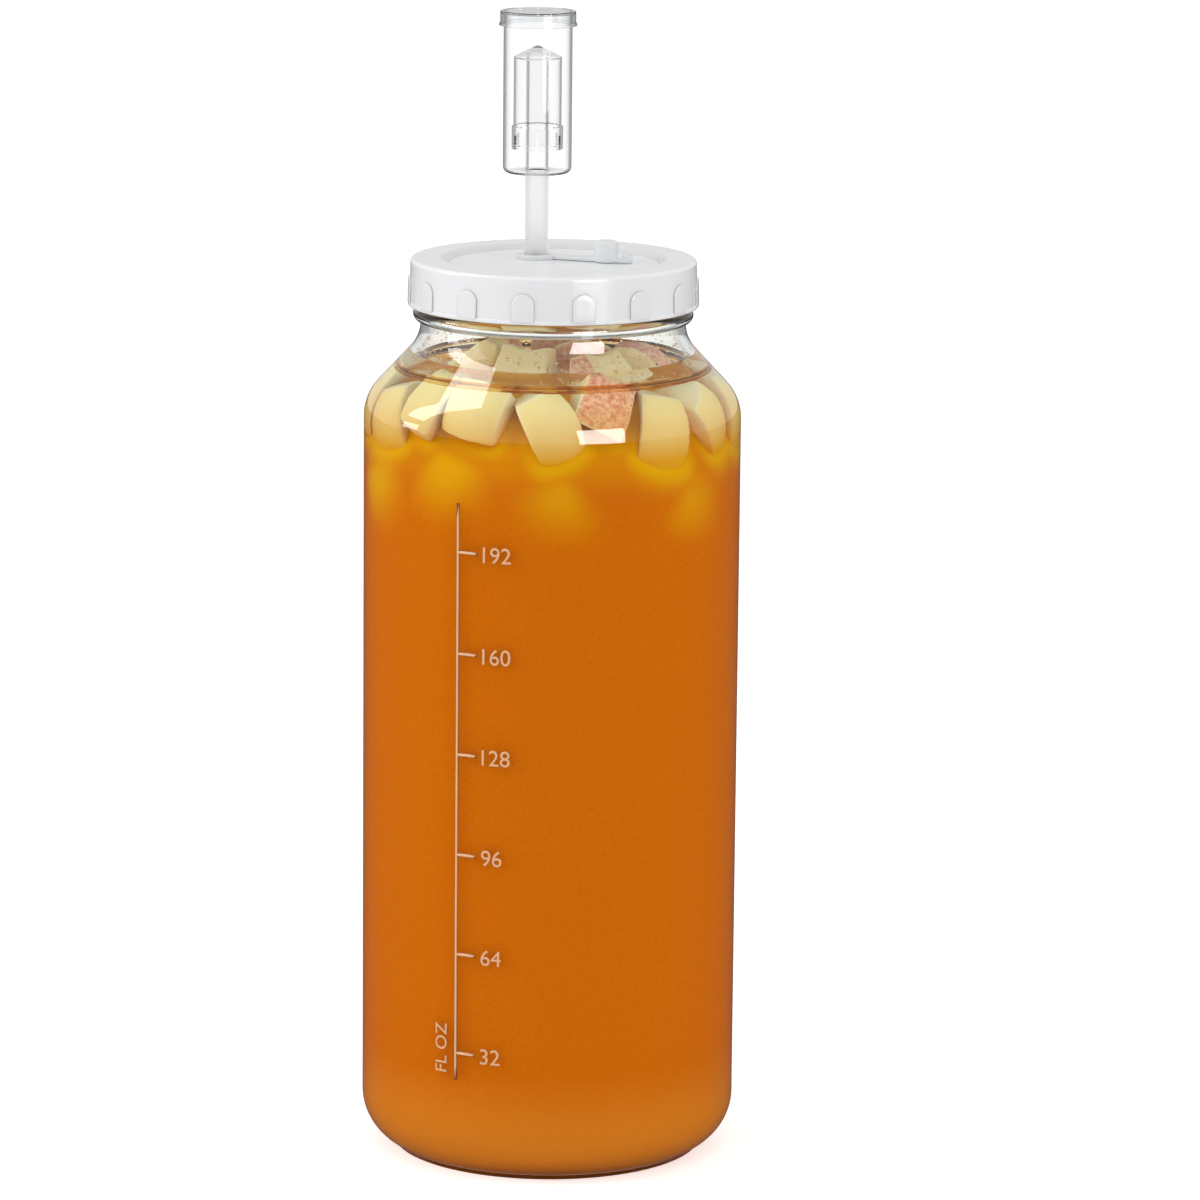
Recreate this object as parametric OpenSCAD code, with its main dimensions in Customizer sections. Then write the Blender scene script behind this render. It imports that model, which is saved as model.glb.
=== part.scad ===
// Two-gallon wide-mouth fermentation jar with a screw lid and a three-piece airlock.
// Millimetres. The origin is the centre of the base, on the surface that the jar stands on.
// +Z runs up the jar's axis, and the graduations face -Y, towards the viewer.

/* [Jar] */
// Outer diameter of the straight body
body_d = 170; // [160:1:180]
// Height at which the straight wall ends and the shoulder starts
straight_h = 337; // [300:1:360]
// Thickness of the blown wall
glass_wall = 3.8; // [3.2:0.1:4.4]
// Thickness of the glass floor at the bearing ring
floor_t = 9; // [8:0.5:12]
// Radius of the rounded heel
heel_r = 24; // [20:0.5:27]
// Height of the bearing ring under the heel
ring_h = 2.2; // [1.5:0.1:3]
// Width of the bearing ring that the jar stands on
ring_w = 6; // [4:0.5:8]
// Height of the push-up in the middle of the base
push_up = 3.5; // [2:0.5:5]
// Radius of the convex curve where the body turns into the shoulder
shoulder_r = 22; // [18:0.5:26]
// Lean of the shoulder's cone from the vertical, in degrees
shoulder_lean = 43; // [40:1:46]
// Radius of the hollow curve between shoulder and neck
throat_r = 18; // [14:0.5:20]
// Outer diameter of the neck under the bead
neck_d = 119.2; // [116:0.2:122]

/* [Mouth] */
// Height of the bead that rings the neck below the lid
bead_h = 6.2; // [5:0.1:7]
// How far the bead stands out from the neck
bead_out = 3.4; // [2.6:0.1:3.8]
// Height of the mouth from the bead's top to the sealing rim
mouth_h = 17.7; // [16:0.1:22]
// Rounding of the rim's two edges
rim_round = 1.2; // [0.8:0.1:1.5]

/* [Lid] */
// Height of the lid from the edge of its skirt to its top
lid_h = 21; // [19:0.1:22]
// Play between the bead's or mouth's glass and the inside of the skirt, where the thread runs
thread_room = 3.1; // [2.6:0.1:3.4]
// Thickness of the skirt
skirt_t = 1.9; // [1.6:0.1:2.4]
// Thickness of the lid's top
plate_t = 2.2; // [1.8:0.1:2.6]
// Radius of the lid's rounded top edge
lid_edge_r = 1.6; // [1:0.1:2]
// Extra radius that the skirt's draft gives it at the bottom
lid_draft = 0.5; // [0.2:0.1:0.8]
// How far the lip at the skirt's edge stands out
lip_out = 1.1; // [0.6:0.1:1.4]
// Height of that lip
lip_h = 1.3; // [1:0.1:2]
// Diameter of the round recess in the lid's top
recess_d = 100; // [92:1:104]
// Depth of that recess
recess_depth = 2.5; // [2:0.1:3]
// Number of grip pads round the skirt
pad_count = 15; // [10:1:18]
// Width of a grip pad
pad_w = 10.2; // [8:0.1:11]
// Height of a grip pad, to the top of its arch
pad_h = 13.7; // [11:0.1:14.5]
// How far a grip pad stands out from the skirt
pad_out = 0.8; // [0.5:0.1:1]

/* [Gasket] */
// Thickness of the flat silicone ring between rim and lid
gasket_t = 2; // [1.5:0.1:2.5]
// How far the ring reaches inwards past the glass rim
gasket_in = 1.2; // [0.8:0.1:1.5]
// How far the ring reaches outwards past the glass rim
gasket_out = 1.8; // [1:0.1:2]

/* [Grommet and stopper] */
// Distance of the airlock hole from the lid's centre, to the right
hole_x = -7.8; // [-14:0.1:-4]
// Distance of the airlock hole from the lid's centre, to the rear
hole_y = 16; // [10:0.5:22]
// Outer diameter of the grommet's flange on top of the lid
flange_d = 18; // [17:0.1:19]
// Thickness of that flange
flange_t = 2; // [1.6:0.1:2.4]
// Outer diameter of the grommet's neck, in the lid's hole
grommet_neck_d = 13.8; // [13:0.1:15]
// Outer diameter of the grommet's flange under the lid
foot_d = 17; // [16:0.1:18]
// Thickness of that lower flange
foot_t = 2; // [1.5:0.1:2.5]
// Distance from the airlock hole to the middle of the stopper
strap_len = 33.3; // [30:0.1:36]
// Direction of the strap on the lid, in degrees from +X
strap_turn = -19.3; // [-30:0.1:-10]
// Width of the strap
strap_w = 5; // [4:0.1:6]
// Thickness of the strap
strap_t = 1.8; // [1.4:0.1:2.2]
// Diameter of the stopper
stopper_d = 10.6; // [10:0.1:11]
// Height of the stopper, with the strap that it grows from
stopper_h = 9.6; // [8:0.1:11]
// How far the pull tab reaches past the stopper's side
tab_len = 7; // [5:0.1:8]

/* [Airlock body] */
// Outer diameter of the stem and of the tube above it
stem_d = 10.7; // [10:0.1:11]
// Bore of the stem and the tube
stem_bore_d = 7.8; // [7:0.1:8]
// Length of the stem in sight, from the grommet to the chamber
stem_seen = 36.8; // [34:0.1:42]
// Length of the stem from the top of the grommet down to its end
stem_sunk = 16; // [14:0.5:20]
// Outer diameter of the chamber
chamber_d = 30.9; // [29:0.1:32]
// Height of the chamber
chamber_h = 71.7; // [66:0.1:76]
// Height of the tube's mouth over the chamber's bottom
tube_h = 53.6; // [48:0.1:57]
// Thickness of the chamber's wall and floor
chamber_t = 1.2; // [1:0.1:1.5]
// Outer radius of the chamber's bottom corner
chamber_corner = 3; // [2:0.1:4]

/* [Airlock float] */
// Outer diameter of the float
float_d = 21.6; // [21:0.1:22.4]
// Thickness of the float's wall
float_t = 0.9; // [0.7:0.1:1.1]
// Height of the float from its lower edge to its shoulder
float_h = 41.3; // [36:0.1:44]
// Height of the float's pointed roof
roof_h = 5.4; // [4:0.1:7]
// Outer diameter of the collar round the float's lower end
collar_d = 23.1; // [22.8:0.1:23.8]
// Height of that collar
collar_h = 10.6; // [8:0.1:12]
// Number of gas slots in the collar
slot_count = 6; // [4:1:8]
// Width of a gas slot
slot_w = 1.8; // [1.2:0.1:2.4]
// Height of a gas slot
slot_h = 6.5; // [5:0.1:7.5]

/* [Airlock cap] */
// Thickness of the cap's top
cap_t = 1.2; // [1:0.1:1.5]
// Thickness of the cap's skirt
cap_skirt_t = 1.5; // [1.2:0.1:1.8]
// Height of the cap
cap_h = 6.6; // [6:0.1:8]
// How far the rim at the cap's lower edge stands out
cap_rim_out = 0.5; // [0.3:0.1:0.8]
// Height of that rim
cap_rim_h = 1.2; // [0.9:0.1:1.5]
// Number of vent holes in the cap
vent_count = 6; // [4:1:8]
// Diameter of a vent hole
vent_d = 1.5; // [1.2:0.1:2]

/* [Contents] */
// Height of the brew's surface over the end of the straight wall
fill_over = 20.5; // [16:0.5:24]
// Diameter of the apples that the pieces are cut from
apple_d = 70; // [66:1:72]
// Diameter of the core that is cut out of them
core_d = 22; // [20:1:24]

/* [Hidden] */
// Clearances: a running fit, a face that only rests, and the film between brew and glass
run_fit = 0.08;
rest_gap = 0.3;
film = 0.1;
// The bead starts a little over the neck's curve, and the mouth is a little slimmer than the neck
bead_lift = 0.6;
mouth_step = 0.4;
// Step from the heel's curve in to the bearing ring, and the ring's rounded edge
ring_step = 0.8;
ring_edge = 1;
// The small chamfer on moulded edges
chamfer = 0.5;
$fn = 96;

body_r = body_d / 2;
neck_r = neck_d / 2;
inner_wall_r = body_r - glass_wall;
// The shoulder's arc ends and the throat's arc begins on one cone
cone_low_r = body_r - shoulder_r * (1 - cos(shoulder_lean));
cone_top_r = neck_r + throat_r * (1 - cos(shoulder_lean));
cone_rise = (cone_low_r - cone_top_r) / tan(shoulder_lean);
neck_z = straight_h + (shoulder_r + throat_r) * sin(shoulder_lean) + cone_rise;
bead_r = bead_h / 2;
bead_z = neck_z + bead_r + bead_lift;
mouth_r = neck_r - mouth_step;
mouth_in_r = neck_r - glass_wall;
rim_z = bead_z + bead_r + mouth_h;

gasket_z = rim_z;
lid_top = rim_z + gasket_t + plate_t;
lid_bot = lid_top - lid_h;
skirt_in_r = mouth_r + thread_room;
lid_r = skirt_in_r + skirt_t;
panel_z = lid_top - recess_depth;
panel_under = panel_z - plate_t;
// The recess's side slopes at 45 degrees, and keeps its thickness under the step
recess_slope = recess_depth;
step_in = plate_t * tan(22.5);

stem_r = stem_d / 2;
grommet_top = panel_z + flange_t;
stem_end = grommet_top - stem_sunk;
chamber_z = grommet_top + stem_seen;
chamber_r = chamber_d / 2;
chamber_top = chamber_z + chamber_h;
float_r = float_d / 2;
// The float's roof sits on the mouth of the tube, so the float follows the tube's height
tube_top = chamber_z + tube_h;
roof_t = float_t * 1.15;
roof_slope = roof_h / float_r;
float_shoulder = tube_top + rest_gap + roof_t - roof_h + stem_r * roof_slope;
float_z = float_shoulder - float_h;
cap_top = chamber_top + cap_t;
cap_z = cap_top - cap_h;

brew_z = straight_h + fill_over;
apple_r = apple_d / 2;
core_r = core_d / 2;

// Apple pieces: turn round the jar from the front, inset of the piece's middle from the wall,
// height of its middle over the brew's surface, three turns of the piece, wedge angle, length,
// and how far its middle lies along the core
APPLES = [
    [-92, 17, -15, [0, -14, 0], 44, 30, 4],
    [-69, 17, -21, [20, 0, 0], 42, 26, 0],
    [-49, 19, -11, [-16, -30, 6], 30, 26, 6],
    [-29, 20.7, -12, [80, -20, 0], 40, 25, 0],
    [-2, 18, -18, [24, -12, 20], 36, 31, 0],
    [20, 23, -10, [64, -22, 0], 38, 21, 0],
    [41, 16, -23, [-12, -4, -10], 38, 35, 0],
    [64.4, 17, -20, [30, -6, 20], 36, 28, 0],
    [87, 16, -22, [-8, 0, 0], 38, 34, 0],
    [-66, 19, -51, [30, 10, 30], 40, 26, 0],
    [-34, 21, -45, [70, 20, 10], 42, 26, 0],
    [2, 21, -53, [20, 30, -20], 40, 26, 0],
    [51, 20, -54, [60, 0, 30], 38, 22, 0],
    [109, 16, -24, [20, 0, 10], 40, 29, 0],
    [135, 16, -25, [-30, 0, 0], 40, 29, 0],
    [159.5, 17, -25, [60, 0, 0], 40, 27, 0],
    [-178, 16, -26, [10, 0, 20], 40, 30, 0],
    [-152, 17, -24, [40, 0, -10], 42, 28, 0],
    [-120, 17, -26, [-20, 0, 10], 44, 32, 0],
    [-106, 47, -1, [90, 60, 0], 38, 22, 0],
    [-143, 38, -4, [80, -50, 20], 38, 24, 0],
    [-40, 62, -3, [70, 80, 0], 44, 25, 0],
    [38, 45, -4, [90, 70, 10], 44, 26, 0],
    [100, 42, -2, [60, -60, 0], 44, 26, 0],
    [178, 35, -2, [90, -70, 0], 38, 22, 0],
    [145, 56, -3, [90, -60, 20], 42, 25, 0]
];
apple_count = len(APPLES);
// Node names of the apple pieces, counted from one
APPLE_NAMES = [for (k = [1:apple_count]) str("apple_piece_", k < 10 ? "0" : "", k)];

// Points along an arc about (cr, cz), from angle a to angle b
function arc(cr, cz, r, a, b, steps = 10) =
    [for (k = [0:steps]) let (t = a + (b - a) * k / steps) [cr + r * cos(t), cz + r * sin(t)]];

// Outer line of the glass from the heel up to the neck
function shoulder_line(wall) = concat(
    arc(body_r - shoulder_r, straight_h, shoulder_r - wall, 0, shoulder_lean),
    arc(neck_r + throat_r, neck_z, throat_r + wall, 180 + shoulder_lean, 180));

// Inside of the jar, with an extra gap to the glass, from the floor's middle up to the mouth
function inside_line(gap) =
    let (wall = glass_wall + gap, bend = heel_r - wall, low = floor_t + gap)
    concat([[0, low]],
        arc(body_r - heel_r, low + bend, bend, -90, 0),
        shoulder_line(wall));

// Where the heel's curve meets the top of the bearing ring
heel_turn = asin((heel_r - ring_h) / heel_r);
ring_r = body_r - heel_r + heel_r * cos(heel_turn) - ring_step;

module jar_glass() {
    bead = arc(neck_r + bead_out - bead_r, bead_z, bead_r, -90, 90);
    color("lightcyan", 0.4)
    rotate_extrude()
    polygon(concat(
        [for (k = [0:6]) [(ring_r - ring_w) * k / 6, push_up * (1 - pow(k / 6, 2))]],
        arc(ring_r - ring_edge, ring_edge, ring_edge, -90, 0, 4),
        [[ring_r, ring_h]],
        arc(body_r - heel_r, heel_r, heel_r, -heel_turn, 0),
        shoulder_line(0),
        [[neck_r, bead_z - bead_r]],
        bead,
        [[mouth_r, bead_z + bead_r]],
        arc(mouth_r - rim_round, rim_z - rim_round, rim_round, 0, 90, 5),
        arc(mouth_in_r + rim_round, rim_z - rim_round, rim_round, 90, 180, 5),
        reverse(inside_line(0))));
}

function reverse(list) = [for (k = [len(list) - 1:-1:0]) list[k]];

// The cloudy brew fills the jar to its level, less the room that the apple pieces take
module brew() {
    color("darkorange")
    difference() {
        intersection() {
            rotate_extrude() polygon(concat(inside_line(film), [[0, neck_z]]));
            cylinder(r = body_r, h = brew_z);
        }
        for (k = [0:apple_count - 1]) apple_shape(k, film);
    }
}

// A wedge of apple: skin on the sphere, two radial cuts, two cross cuts and the core cut off
module wedge(sweep, length, along, gap) {
    far = apple_r + 5;
    intersection() {
        sphere(r = apple_r + gap);
        translate([0, 0, along - length / 2 - gap])
        linear_extrude(length + 2 * gap)
        polygon([for (p = [[core_r, -1], [far, -1], [far, 1], [core_r, 1]])
            [p[0] - (p[0] == core_r ? gap : 0),
             p[1] * (p[0] * tan(sweep / 2) + gap / cos(sweep / 2))]]);
    }
}

module apple_shape(k, gap = 0) {
    a = APPLES[k];
    middle = (apple_r + core_r) / 2;
    rotate([0, 0, a[0] - 90])
    translate([inner_wall_r - a[1], 0, brew_z + a[2]])
    rotate(a[3])
    translate([-middle, 0, -a[6]])
    wedge(a[4], a[5], a[6], gap);
}

module apple_piece(k) {
    color(k % 4 == 1 ? "indianred" : "khaki") apple_shape(k);
}

module lid_gasket() {
    color("whitesmoke")
    translate([0, 0, gasket_z])
    difference() {
        cylinder(r = mouth_r + gasket_out, h = gasket_t);
        translate([0, 0, -1]) cylinder(r = mouth_in_r - gasket_in, h = gasket_t + 2);
    }
}

// Moulded lid: skirt, rounded edge, flat rim and a recessed panel with the airlock hole
module lid() {
    color("white")
    difference() {
        union() {
            rotate_extrude()
            polygon(concat(
                [[skirt_in_r + lid_draft, lid_bot], [lid_r + lip_out, lid_bot],
                 [lid_r + lip_out, lid_bot + lip_h],
                 [lid_r + lid_draft, lid_bot + lip_h + chamfer]],
                arc(lid_r - lid_edge_r, lid_top - lid_edge_r, lid_edge_r, 0, 90, 6),
                [[recess_d / 2, lid_top], [recess_d / 2 - recess_slope, panel_z],
                 [0, panel_z], [0, panel_under],
                 [recess_d / 2 - recess_slope - step_in, panel_under],
                 [recess_d / 2 - step_in, lid_top - plate_t],
                 [skirt_in_r, lid_top - plate_t]]));
            for (k = [0:pad_count - 1])
                rotate([0, 0, -90 + (k + 0.5) * 360 / pad_count]) grip_pad();
        }
        translate([hole_x, hole_y, panel_under - 1])
        cylinder(d = grommet_neck_d + 2 * run_fit, h = plate_t + 2);
    }
}

// One arched pad, cut to the round of the skirt
module grip_pad() {
    intersection() {
        rotate_extrude()
        polygon([[skirt_in_r + 1, lid_bot + lip_h / 2],
                 [lid_r + lid_draft + pad_out, lid_bot + lip_h / 2],
                 [lid_r + pad_out, lid_bot + pad_h],
                 [skirt_in_r + 1, lid_bot + pad_h]]);
        translate([0, 0, lid_bot + pad_h - pad_w / 2])
        rotate([90, 0, 90])
        linear_extrude(lid_r + 5)
        union() {
            circle(d = pad_w);
            translate([-pad_w / 2, pad_w / 2 - pad_h]) square([pad_w, pad_h - pad_w / 2]);
        }
    }
}

// Silicone grommet: two flanges grip the lid and the bore grips the stem
module grommet() {
    bore = stem_r + run_fit;
    foot_z = panel_under - foot_t;
    color("gainsboro")
    translate([hole_x, hole_y, 0])
    rotate_extrude()
    polygon([[bore, foot_z], [foot_d / 2 - 2 * chamfer, foot_z], [foot_d / 2, panel_under],
             [grommet_neck_d / 2, panel_under], [grommet_neck_d / 2, panel_z],
             [flange_d / 2, panel_z], [flange_d / 2, grommet_top - chamfer],
             [flange_d / 2 - chamfer, grommet_top], [bore, grommet_top]]);
}

// Silicone stopper on its strap: the strap folds over and the stopper shuts the bore
module stopper() {
    // The strap starts in a roll beside the grommet's flange, and bends up about it
    roll_r = strap_t / 2;
    strap_start = flange_d / 2 + rest_gap + roll_r;
    tab_end = strap_len + stopper_d / 2 + tab_len - strap_w / 2;
    base_z = panel_z + rest_gap;
    color("gainsboro")
    translate([hole_x, hole_y, base_z])
    rotate([0, 0, strap_turn])
    union() {
        translate([strap_start, 0, roll_r])
        rotate([90, 0, 0])
        cylinder(r = roll_r, h = strap_w, center = true);
        translate([strap_start, -strap_w / 2, 0])
        cube([tab_end - strap_start, strap_w, strap_t]);
        translate([strap_len, 0, 0])
        rotate_extrude()
        polygon([[0, 0], [stopper_d / 2, 0], [stopper_d / 2, stopper_h - 2 * chamfer],
                 [stopper_d / 2 - 2 * chamfer, stopper_h], [0, stopper_h]]);
        translate([tab_end, 0, 0])
        cylinder(d = strap_w, h = strap_t * 2);
    }
}

// Clear chamber, and in one piece with it the stem below and the tube up its middle
module airlock_body() {
    bore = stem_bore_d / 2;
    room = chamber_r - chamber_t;
    bend = chamber_corner - chamber_t;
    color("aliceblue", 0.5)
    translate([hole_x, hole_y, 0])
    rotate_extrude()
    polygon(concat(
        [[bore, stem_end], [stem_r - chamfer, stem_end], [stem_r, stem_end + chamfer],
         [stem_r, chamber_z]],
        arc(chamber_r - chamber_corner, chamber_z + chamber_corner, chamber_corner, -90, 0, 6),
        [[chamber_r, chamber_top], [room, chamber_top]],
        arc(room - bend, chamber_z + chamber_corner, bend, 0, -90, 6),
        [[stem_r, chamber_z + chamber_t], [stem_r, tube_top], [bore, tube_top]]));
}

// Bell-shaped float that covers the tube, with gas slots in the collar at its lower edge
module airlock_float() {
    in_r = float_r - float_t;
    roof_in = float_shoulder + roof_h - roof_t;
    color("lavender", 0.6)
    translate([hole_x, hole_y, 0])
    difference() {
        rotate_extrude()
        polygon([[in_r, float_z], [collar_d / 2, float_z],
                 [collar_d / 2, float_z + collar_h - chamfer], [float_r, float_z + collar_h],
                 [float_r, float_shoulder], [0, float_shoulder + roof_h],
                 [0, roof_in], [in_r, roof_in - in_r * roof_slope]]);
        for (k = [0:slot_count - 1])
            rotate([0, 0, (k + 0.5) * 360 / slot_count])
            translate([float_r - 3, -slot_w / 2, float_z - 1])
            cube([6, slot_w, slot_h + 1]);
    }
}

// Press-on cap with vent holes, resting on the chamber's rim
module airlock_cap() {
    in_r = chamber_r + run_fit;
    out_r = in_r + cap_skirt_t;
    color("aliceblue", 0.6)
    translate([hole_x, hole_y, 0])
    difference() {
        rotate_extrude()
        polygon([[in_r, cap_z], [out_r + cap_rim_out, cap_z],
                 [out_r + cap_rim_out, cap_z + cap_rim_h], [out_r, cap_z + cap_rim_h],
                 [out_r, cap_top - chamfer], [out_r - chamfer, cap_top], [0, cap_top],
                 [0, chamber_top], [in_r, chamber_top]]);
        for (k = [0:vent_count - 1])
            rotate([0, 0, k * 360 / vent_count])
            translate([chamber_r * 0.6, 0, chamber_top - 1])
            cylinder(d = vent_d, h = cap_t + 2);
    }
}

jar_glass();
brew();
lid_gasket();
lid();
grommet();
stopper();
airlock_body();
airlock_float();
airlock_cap();
for (k = [0:apple_count - 1])
    apple_piece(k);
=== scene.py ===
"""Looks of the two-gallon fermentation jar with airlock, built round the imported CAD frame.

Sizes are in millimetres until a mesh is made, and metres from there on. The origin is the
centre of the base, +Z is up and the graduations face -Y.
"""

import math

import bmesh
import bpy
import numpy as np
from mathutils import Matrix, Vector, noise
from mathutils.kdtree import KDTree


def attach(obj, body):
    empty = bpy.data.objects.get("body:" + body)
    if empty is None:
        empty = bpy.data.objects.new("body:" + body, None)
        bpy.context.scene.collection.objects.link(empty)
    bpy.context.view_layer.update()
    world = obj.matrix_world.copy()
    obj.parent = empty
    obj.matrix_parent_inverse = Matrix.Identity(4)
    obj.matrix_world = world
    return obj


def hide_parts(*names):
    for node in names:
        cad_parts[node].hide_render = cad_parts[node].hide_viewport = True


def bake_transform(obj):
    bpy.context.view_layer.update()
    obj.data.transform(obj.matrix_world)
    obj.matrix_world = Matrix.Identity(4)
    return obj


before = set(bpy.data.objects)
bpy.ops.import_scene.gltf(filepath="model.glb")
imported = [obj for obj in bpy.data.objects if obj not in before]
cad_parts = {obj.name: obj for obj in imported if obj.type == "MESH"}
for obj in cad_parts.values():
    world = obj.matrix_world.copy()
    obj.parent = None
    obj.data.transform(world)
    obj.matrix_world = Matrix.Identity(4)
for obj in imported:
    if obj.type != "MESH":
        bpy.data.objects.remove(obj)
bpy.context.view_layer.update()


# ---------------------------------------------------------------------------
# The jar: one piece of clear soda-lime glass, blown in a mould, with a pushed-up base,
# a bearing ring, a sloping shoulder and a pressed mouth. All else stands in it or on it.
MM = 0.001
BODY_R = 85.0
WALL = 3.8
STRAIGHT_H = 337.0
HEEL_R = 24.0
FLOOR_T = 9.0
PUSH_UP = 3.5
RING_R, RING_W, RING_H, RING_EDGE = 70.24, 6.0, 2.2, 1.0
SHOULDER_R, SHOULDER_LEAN, THROAT_R = 22.0, 43.0, 18.0
NECK_R, NECK_Z = 59.6, 379.995
BEAD_Z, BEAD_R, BEAD_OUT = 383.695, 3.1, 3.4
MOUTH_R, MOUTH_IN_R, RIM_Z, RIM_ROUND = 59.2, 55.8, 404.495, 1.2
GLASS_TINT = (251, 254, 253)


def paint(red, green, blue, alpha=1.0):
    """An everyday 0-255 colour as the linear colour that a shader takes."""
    def linear(value):
        value /= 255
        return value / 12.92 if value <= 0.04045 else ((value + 0.055) / 1.055) ** 2.4
    return (linear(red), linear(green), linear(blue), alpha)


def arc(r, z, radius, start, stop, steps=14):
    """Points of an arc about (r, z), from one angle in degrees to another."""
    turns = np.radians(np.linspace(start, stop, steps + 1))
    return [(r + radius * math.cos(t), z + radius * math.sin(t)) for t in turns]


def soften(corners, steps=5):
    """An outline whose corners (r, z, rounding) are rounded, with guard points beside each."""
    points = []
    for k, (r, z, rounding) in enumerate(corners):
        here = Vector((r, z))
        if rounding <= 0:
            points.append((r, z))
            continue
        back = Vector(corners[k - 1][:2]) - here
        on = Vector(corners[(k + 1) % len(corners)][:2]) - here
        half = back.angle(on) / 2
        reach = min(rounding / math.tan(half), 0.42 * back.length, 0.42 * on.length)
        radius = reach * math.tan(half)
        middle = here + (back.normalized() + on.normalized()).normalized() * (
            radius / math.sin(half))
        first = here + back.normalized() * reach
        last = here + on.normalized() * reach
        guard = 0.15 * reach
        points.append(tuple(first + back.normalized() * guard))
        a, b = first - middle, last - middle
        sweep = a.angle(b)
        for s in range(steps + 1):
            t = s / steps
            spoke = (a * math.sin((1 - t) * sweep) + b * math.sin(t * sweep)) / math.sin(sweep)
            points.append(tuple(middle + spoke))
        points.append(tuple(last + on.normalized() * guard))
    return points


def new_piece(name, bm, material, sharp=50):
    """A finished object at the origin, from a bmesh in metres."""
    mesh = bpy.data.meshes.new(name)
    bm.to_mesh(mesh)
    bm.free()
    mesh.shade_smooth()
    mesh.set_sharp_from_angle(angle=math.radians(sharp))
    mesh.materials.append(material)
    piece = bpy.data.objects.new(name, mesh)
    bpy.context.scene.collection.objects.link(piece)
    return piece


def turned(outline, steps=192, centre=(0.0, 0.0)):
    """The bmesh of a solid of revolution. The outline runs anticlockwise in (radius, height)
    and either closes on itself or starts and ends on the axis."""
    bm = bmesh.new()
    rings = []
    for r, z in outline:
        if r < 1e-6:
            rings.append([bm.verts.new((centre[0] * MM, centre[1] * MM, z * MM))])
            continue
        rings.append([bm.verts.new(((centre[0] + r * math.cos(t)) * MM,
                                    (centre[1] + r * math.sin(t)) * MM, z * MM))
                      for t in np.linspace(0, 2 * math.pi, steps, endpoint=False)])
    for low, high in zip(rings, rings[1:] + rings[:1]):
        if len(low) == len(high) == 1:
            continue
        for k in range(steps):
            n = (k + 1) % steps
            if len(low) == 1:
                bm.faces.new((low[0], high[n], high[k]))
            elif len(high) == 1:
                bm.faces.new((low[k], low[n], high[0]))
            else:
                bm.faces.new((low[k], low[n], high[n], high[k]))
    return bm


def shader_node(tree, kind, links=(), **values):
    """A node of this kind with its sockets set. A value that is a socket is linked."""
    node = tree.nodes.new(kind)
    for name, value in values.items():
        if hasattr(node, name) and name not in ("color",):
            setattr(node, name, value)
    for socket, value in links:
        if isinstance(value, bpy.types.NodeSocket):
            tree.links.new(value, node.inputs[socket])
        else:
            node.inputs[socket].default_value = value
    return node


def see_through(name, tint, ior, roughness, wave, wave_scale, lamp_tint=(255, 255, 255),
                fade=None):
    """A clear material: it refracts what the eye sees, and lets the lamps' light straight in.
    Its tint comes in between the two heights of fade, in metres, if they are given."""
    material = bpy.data.materials.new(name)
    material.use_nodes = True
    tree = material.node_tree
    tree.nodes.clear()
    place = shader_node(tree, "ShaderNodeTexCoord").outputs["Object"]
    ripple = shader_node(tree, "ShaderNodeTexNoise",
                         [("Vector", place), ("Scale", wave_scale), ("Detail", 1.0)])
    bump = shader_node(tree, "ShaderNodeBump",
                       [("Strength", 1.0), ("Distance", wave), ("Height", ripple.outputs["Fac"])])
    body = shader_node(tree, "ShaderNodeBsdfPrincipled",
                       [("Base Color", paint(*tint)), ("Roughness", roughness), ("IOR", ior),
                        ("Transmission Weight", 1.0), ("Normal", bump.outputs["Normal"])])
    if fade:
        height = shader_node(tree, "ShaderNodeSeparateXYZ", [("Vector", place)])
        share = shader_node(tree, "ShaderNodeMapRange",
                            [("Value", height.outputs["Z"]), ("From Min", fade[0]),
                             ("From Max", fade[1])])
        faded = shader_node(tree, "ShaderNodeMix", [("Factor", share.outputs[0]),
                                                    (6, paint(255, 255, 255)), (7, paint(*tint))],
                            data_type="RGBA")
        tree.links.new(faded.outputs[2], body.inputs["Base Color"])
    lamps = shader_node(tree, "ShaderNodeBsdfTransparent", [("Color", paint(*lamp_tint))])
    ray = shader_node(tree, "ShaderNodeLightPath")
    either = shader_node(tree, "ShaderNodeMath", [(0, ray.outputs["Is Shadow Ray"]),
                                                  (1, ray.outputs["Is Diffuse Ray"])],
                         operation="MAXIMUM")
    mix = shader_node(tree, "ShaderNodeMixShader", [(0, either.outputs[0]), (1, body.outputs[0]),
                                                    (2, lamps.outputs[0])])
    out = shader_node(tree, "ShaderNodeOutputMaterial")
    tree.links.new(mix.outputs[0], out.inputs["Surface"])
    return material


def shoulder_line(wall):
    """The jar's side from the straight wall up to the neck, this far under its outside."""
    return (arc(BODY_R - SHOULDER_R, STRAIGHT_H, SHOULDER_R - wall, 0, SHOULDER_LEAN, 18)
            + arc(NECK_R + THROAT_R, NECK_Z, THROAT_R + wall, 180 + SHOULDER_LEAN, 180, 14))


def inside_line(gap):
    """The jar's inside from the floor's middle to the neck, with this gap to the glass."""
    wall = WALL + gap
    bend, low = HEEL_R - wall, FLOOR_T + gap
    heel = arc(BODY_R - HEEL_R, low + bend, bend, -90, 0, 16)
    straight = [(BODY_R - wall, low + bend + 2), (BODY_R - wall, STRAIGHT_H - 2)]
    return [(0, low), (BODY_R - HEEL_R - 2, low)] + heel + straight + shoulder_line(wall)


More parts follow.
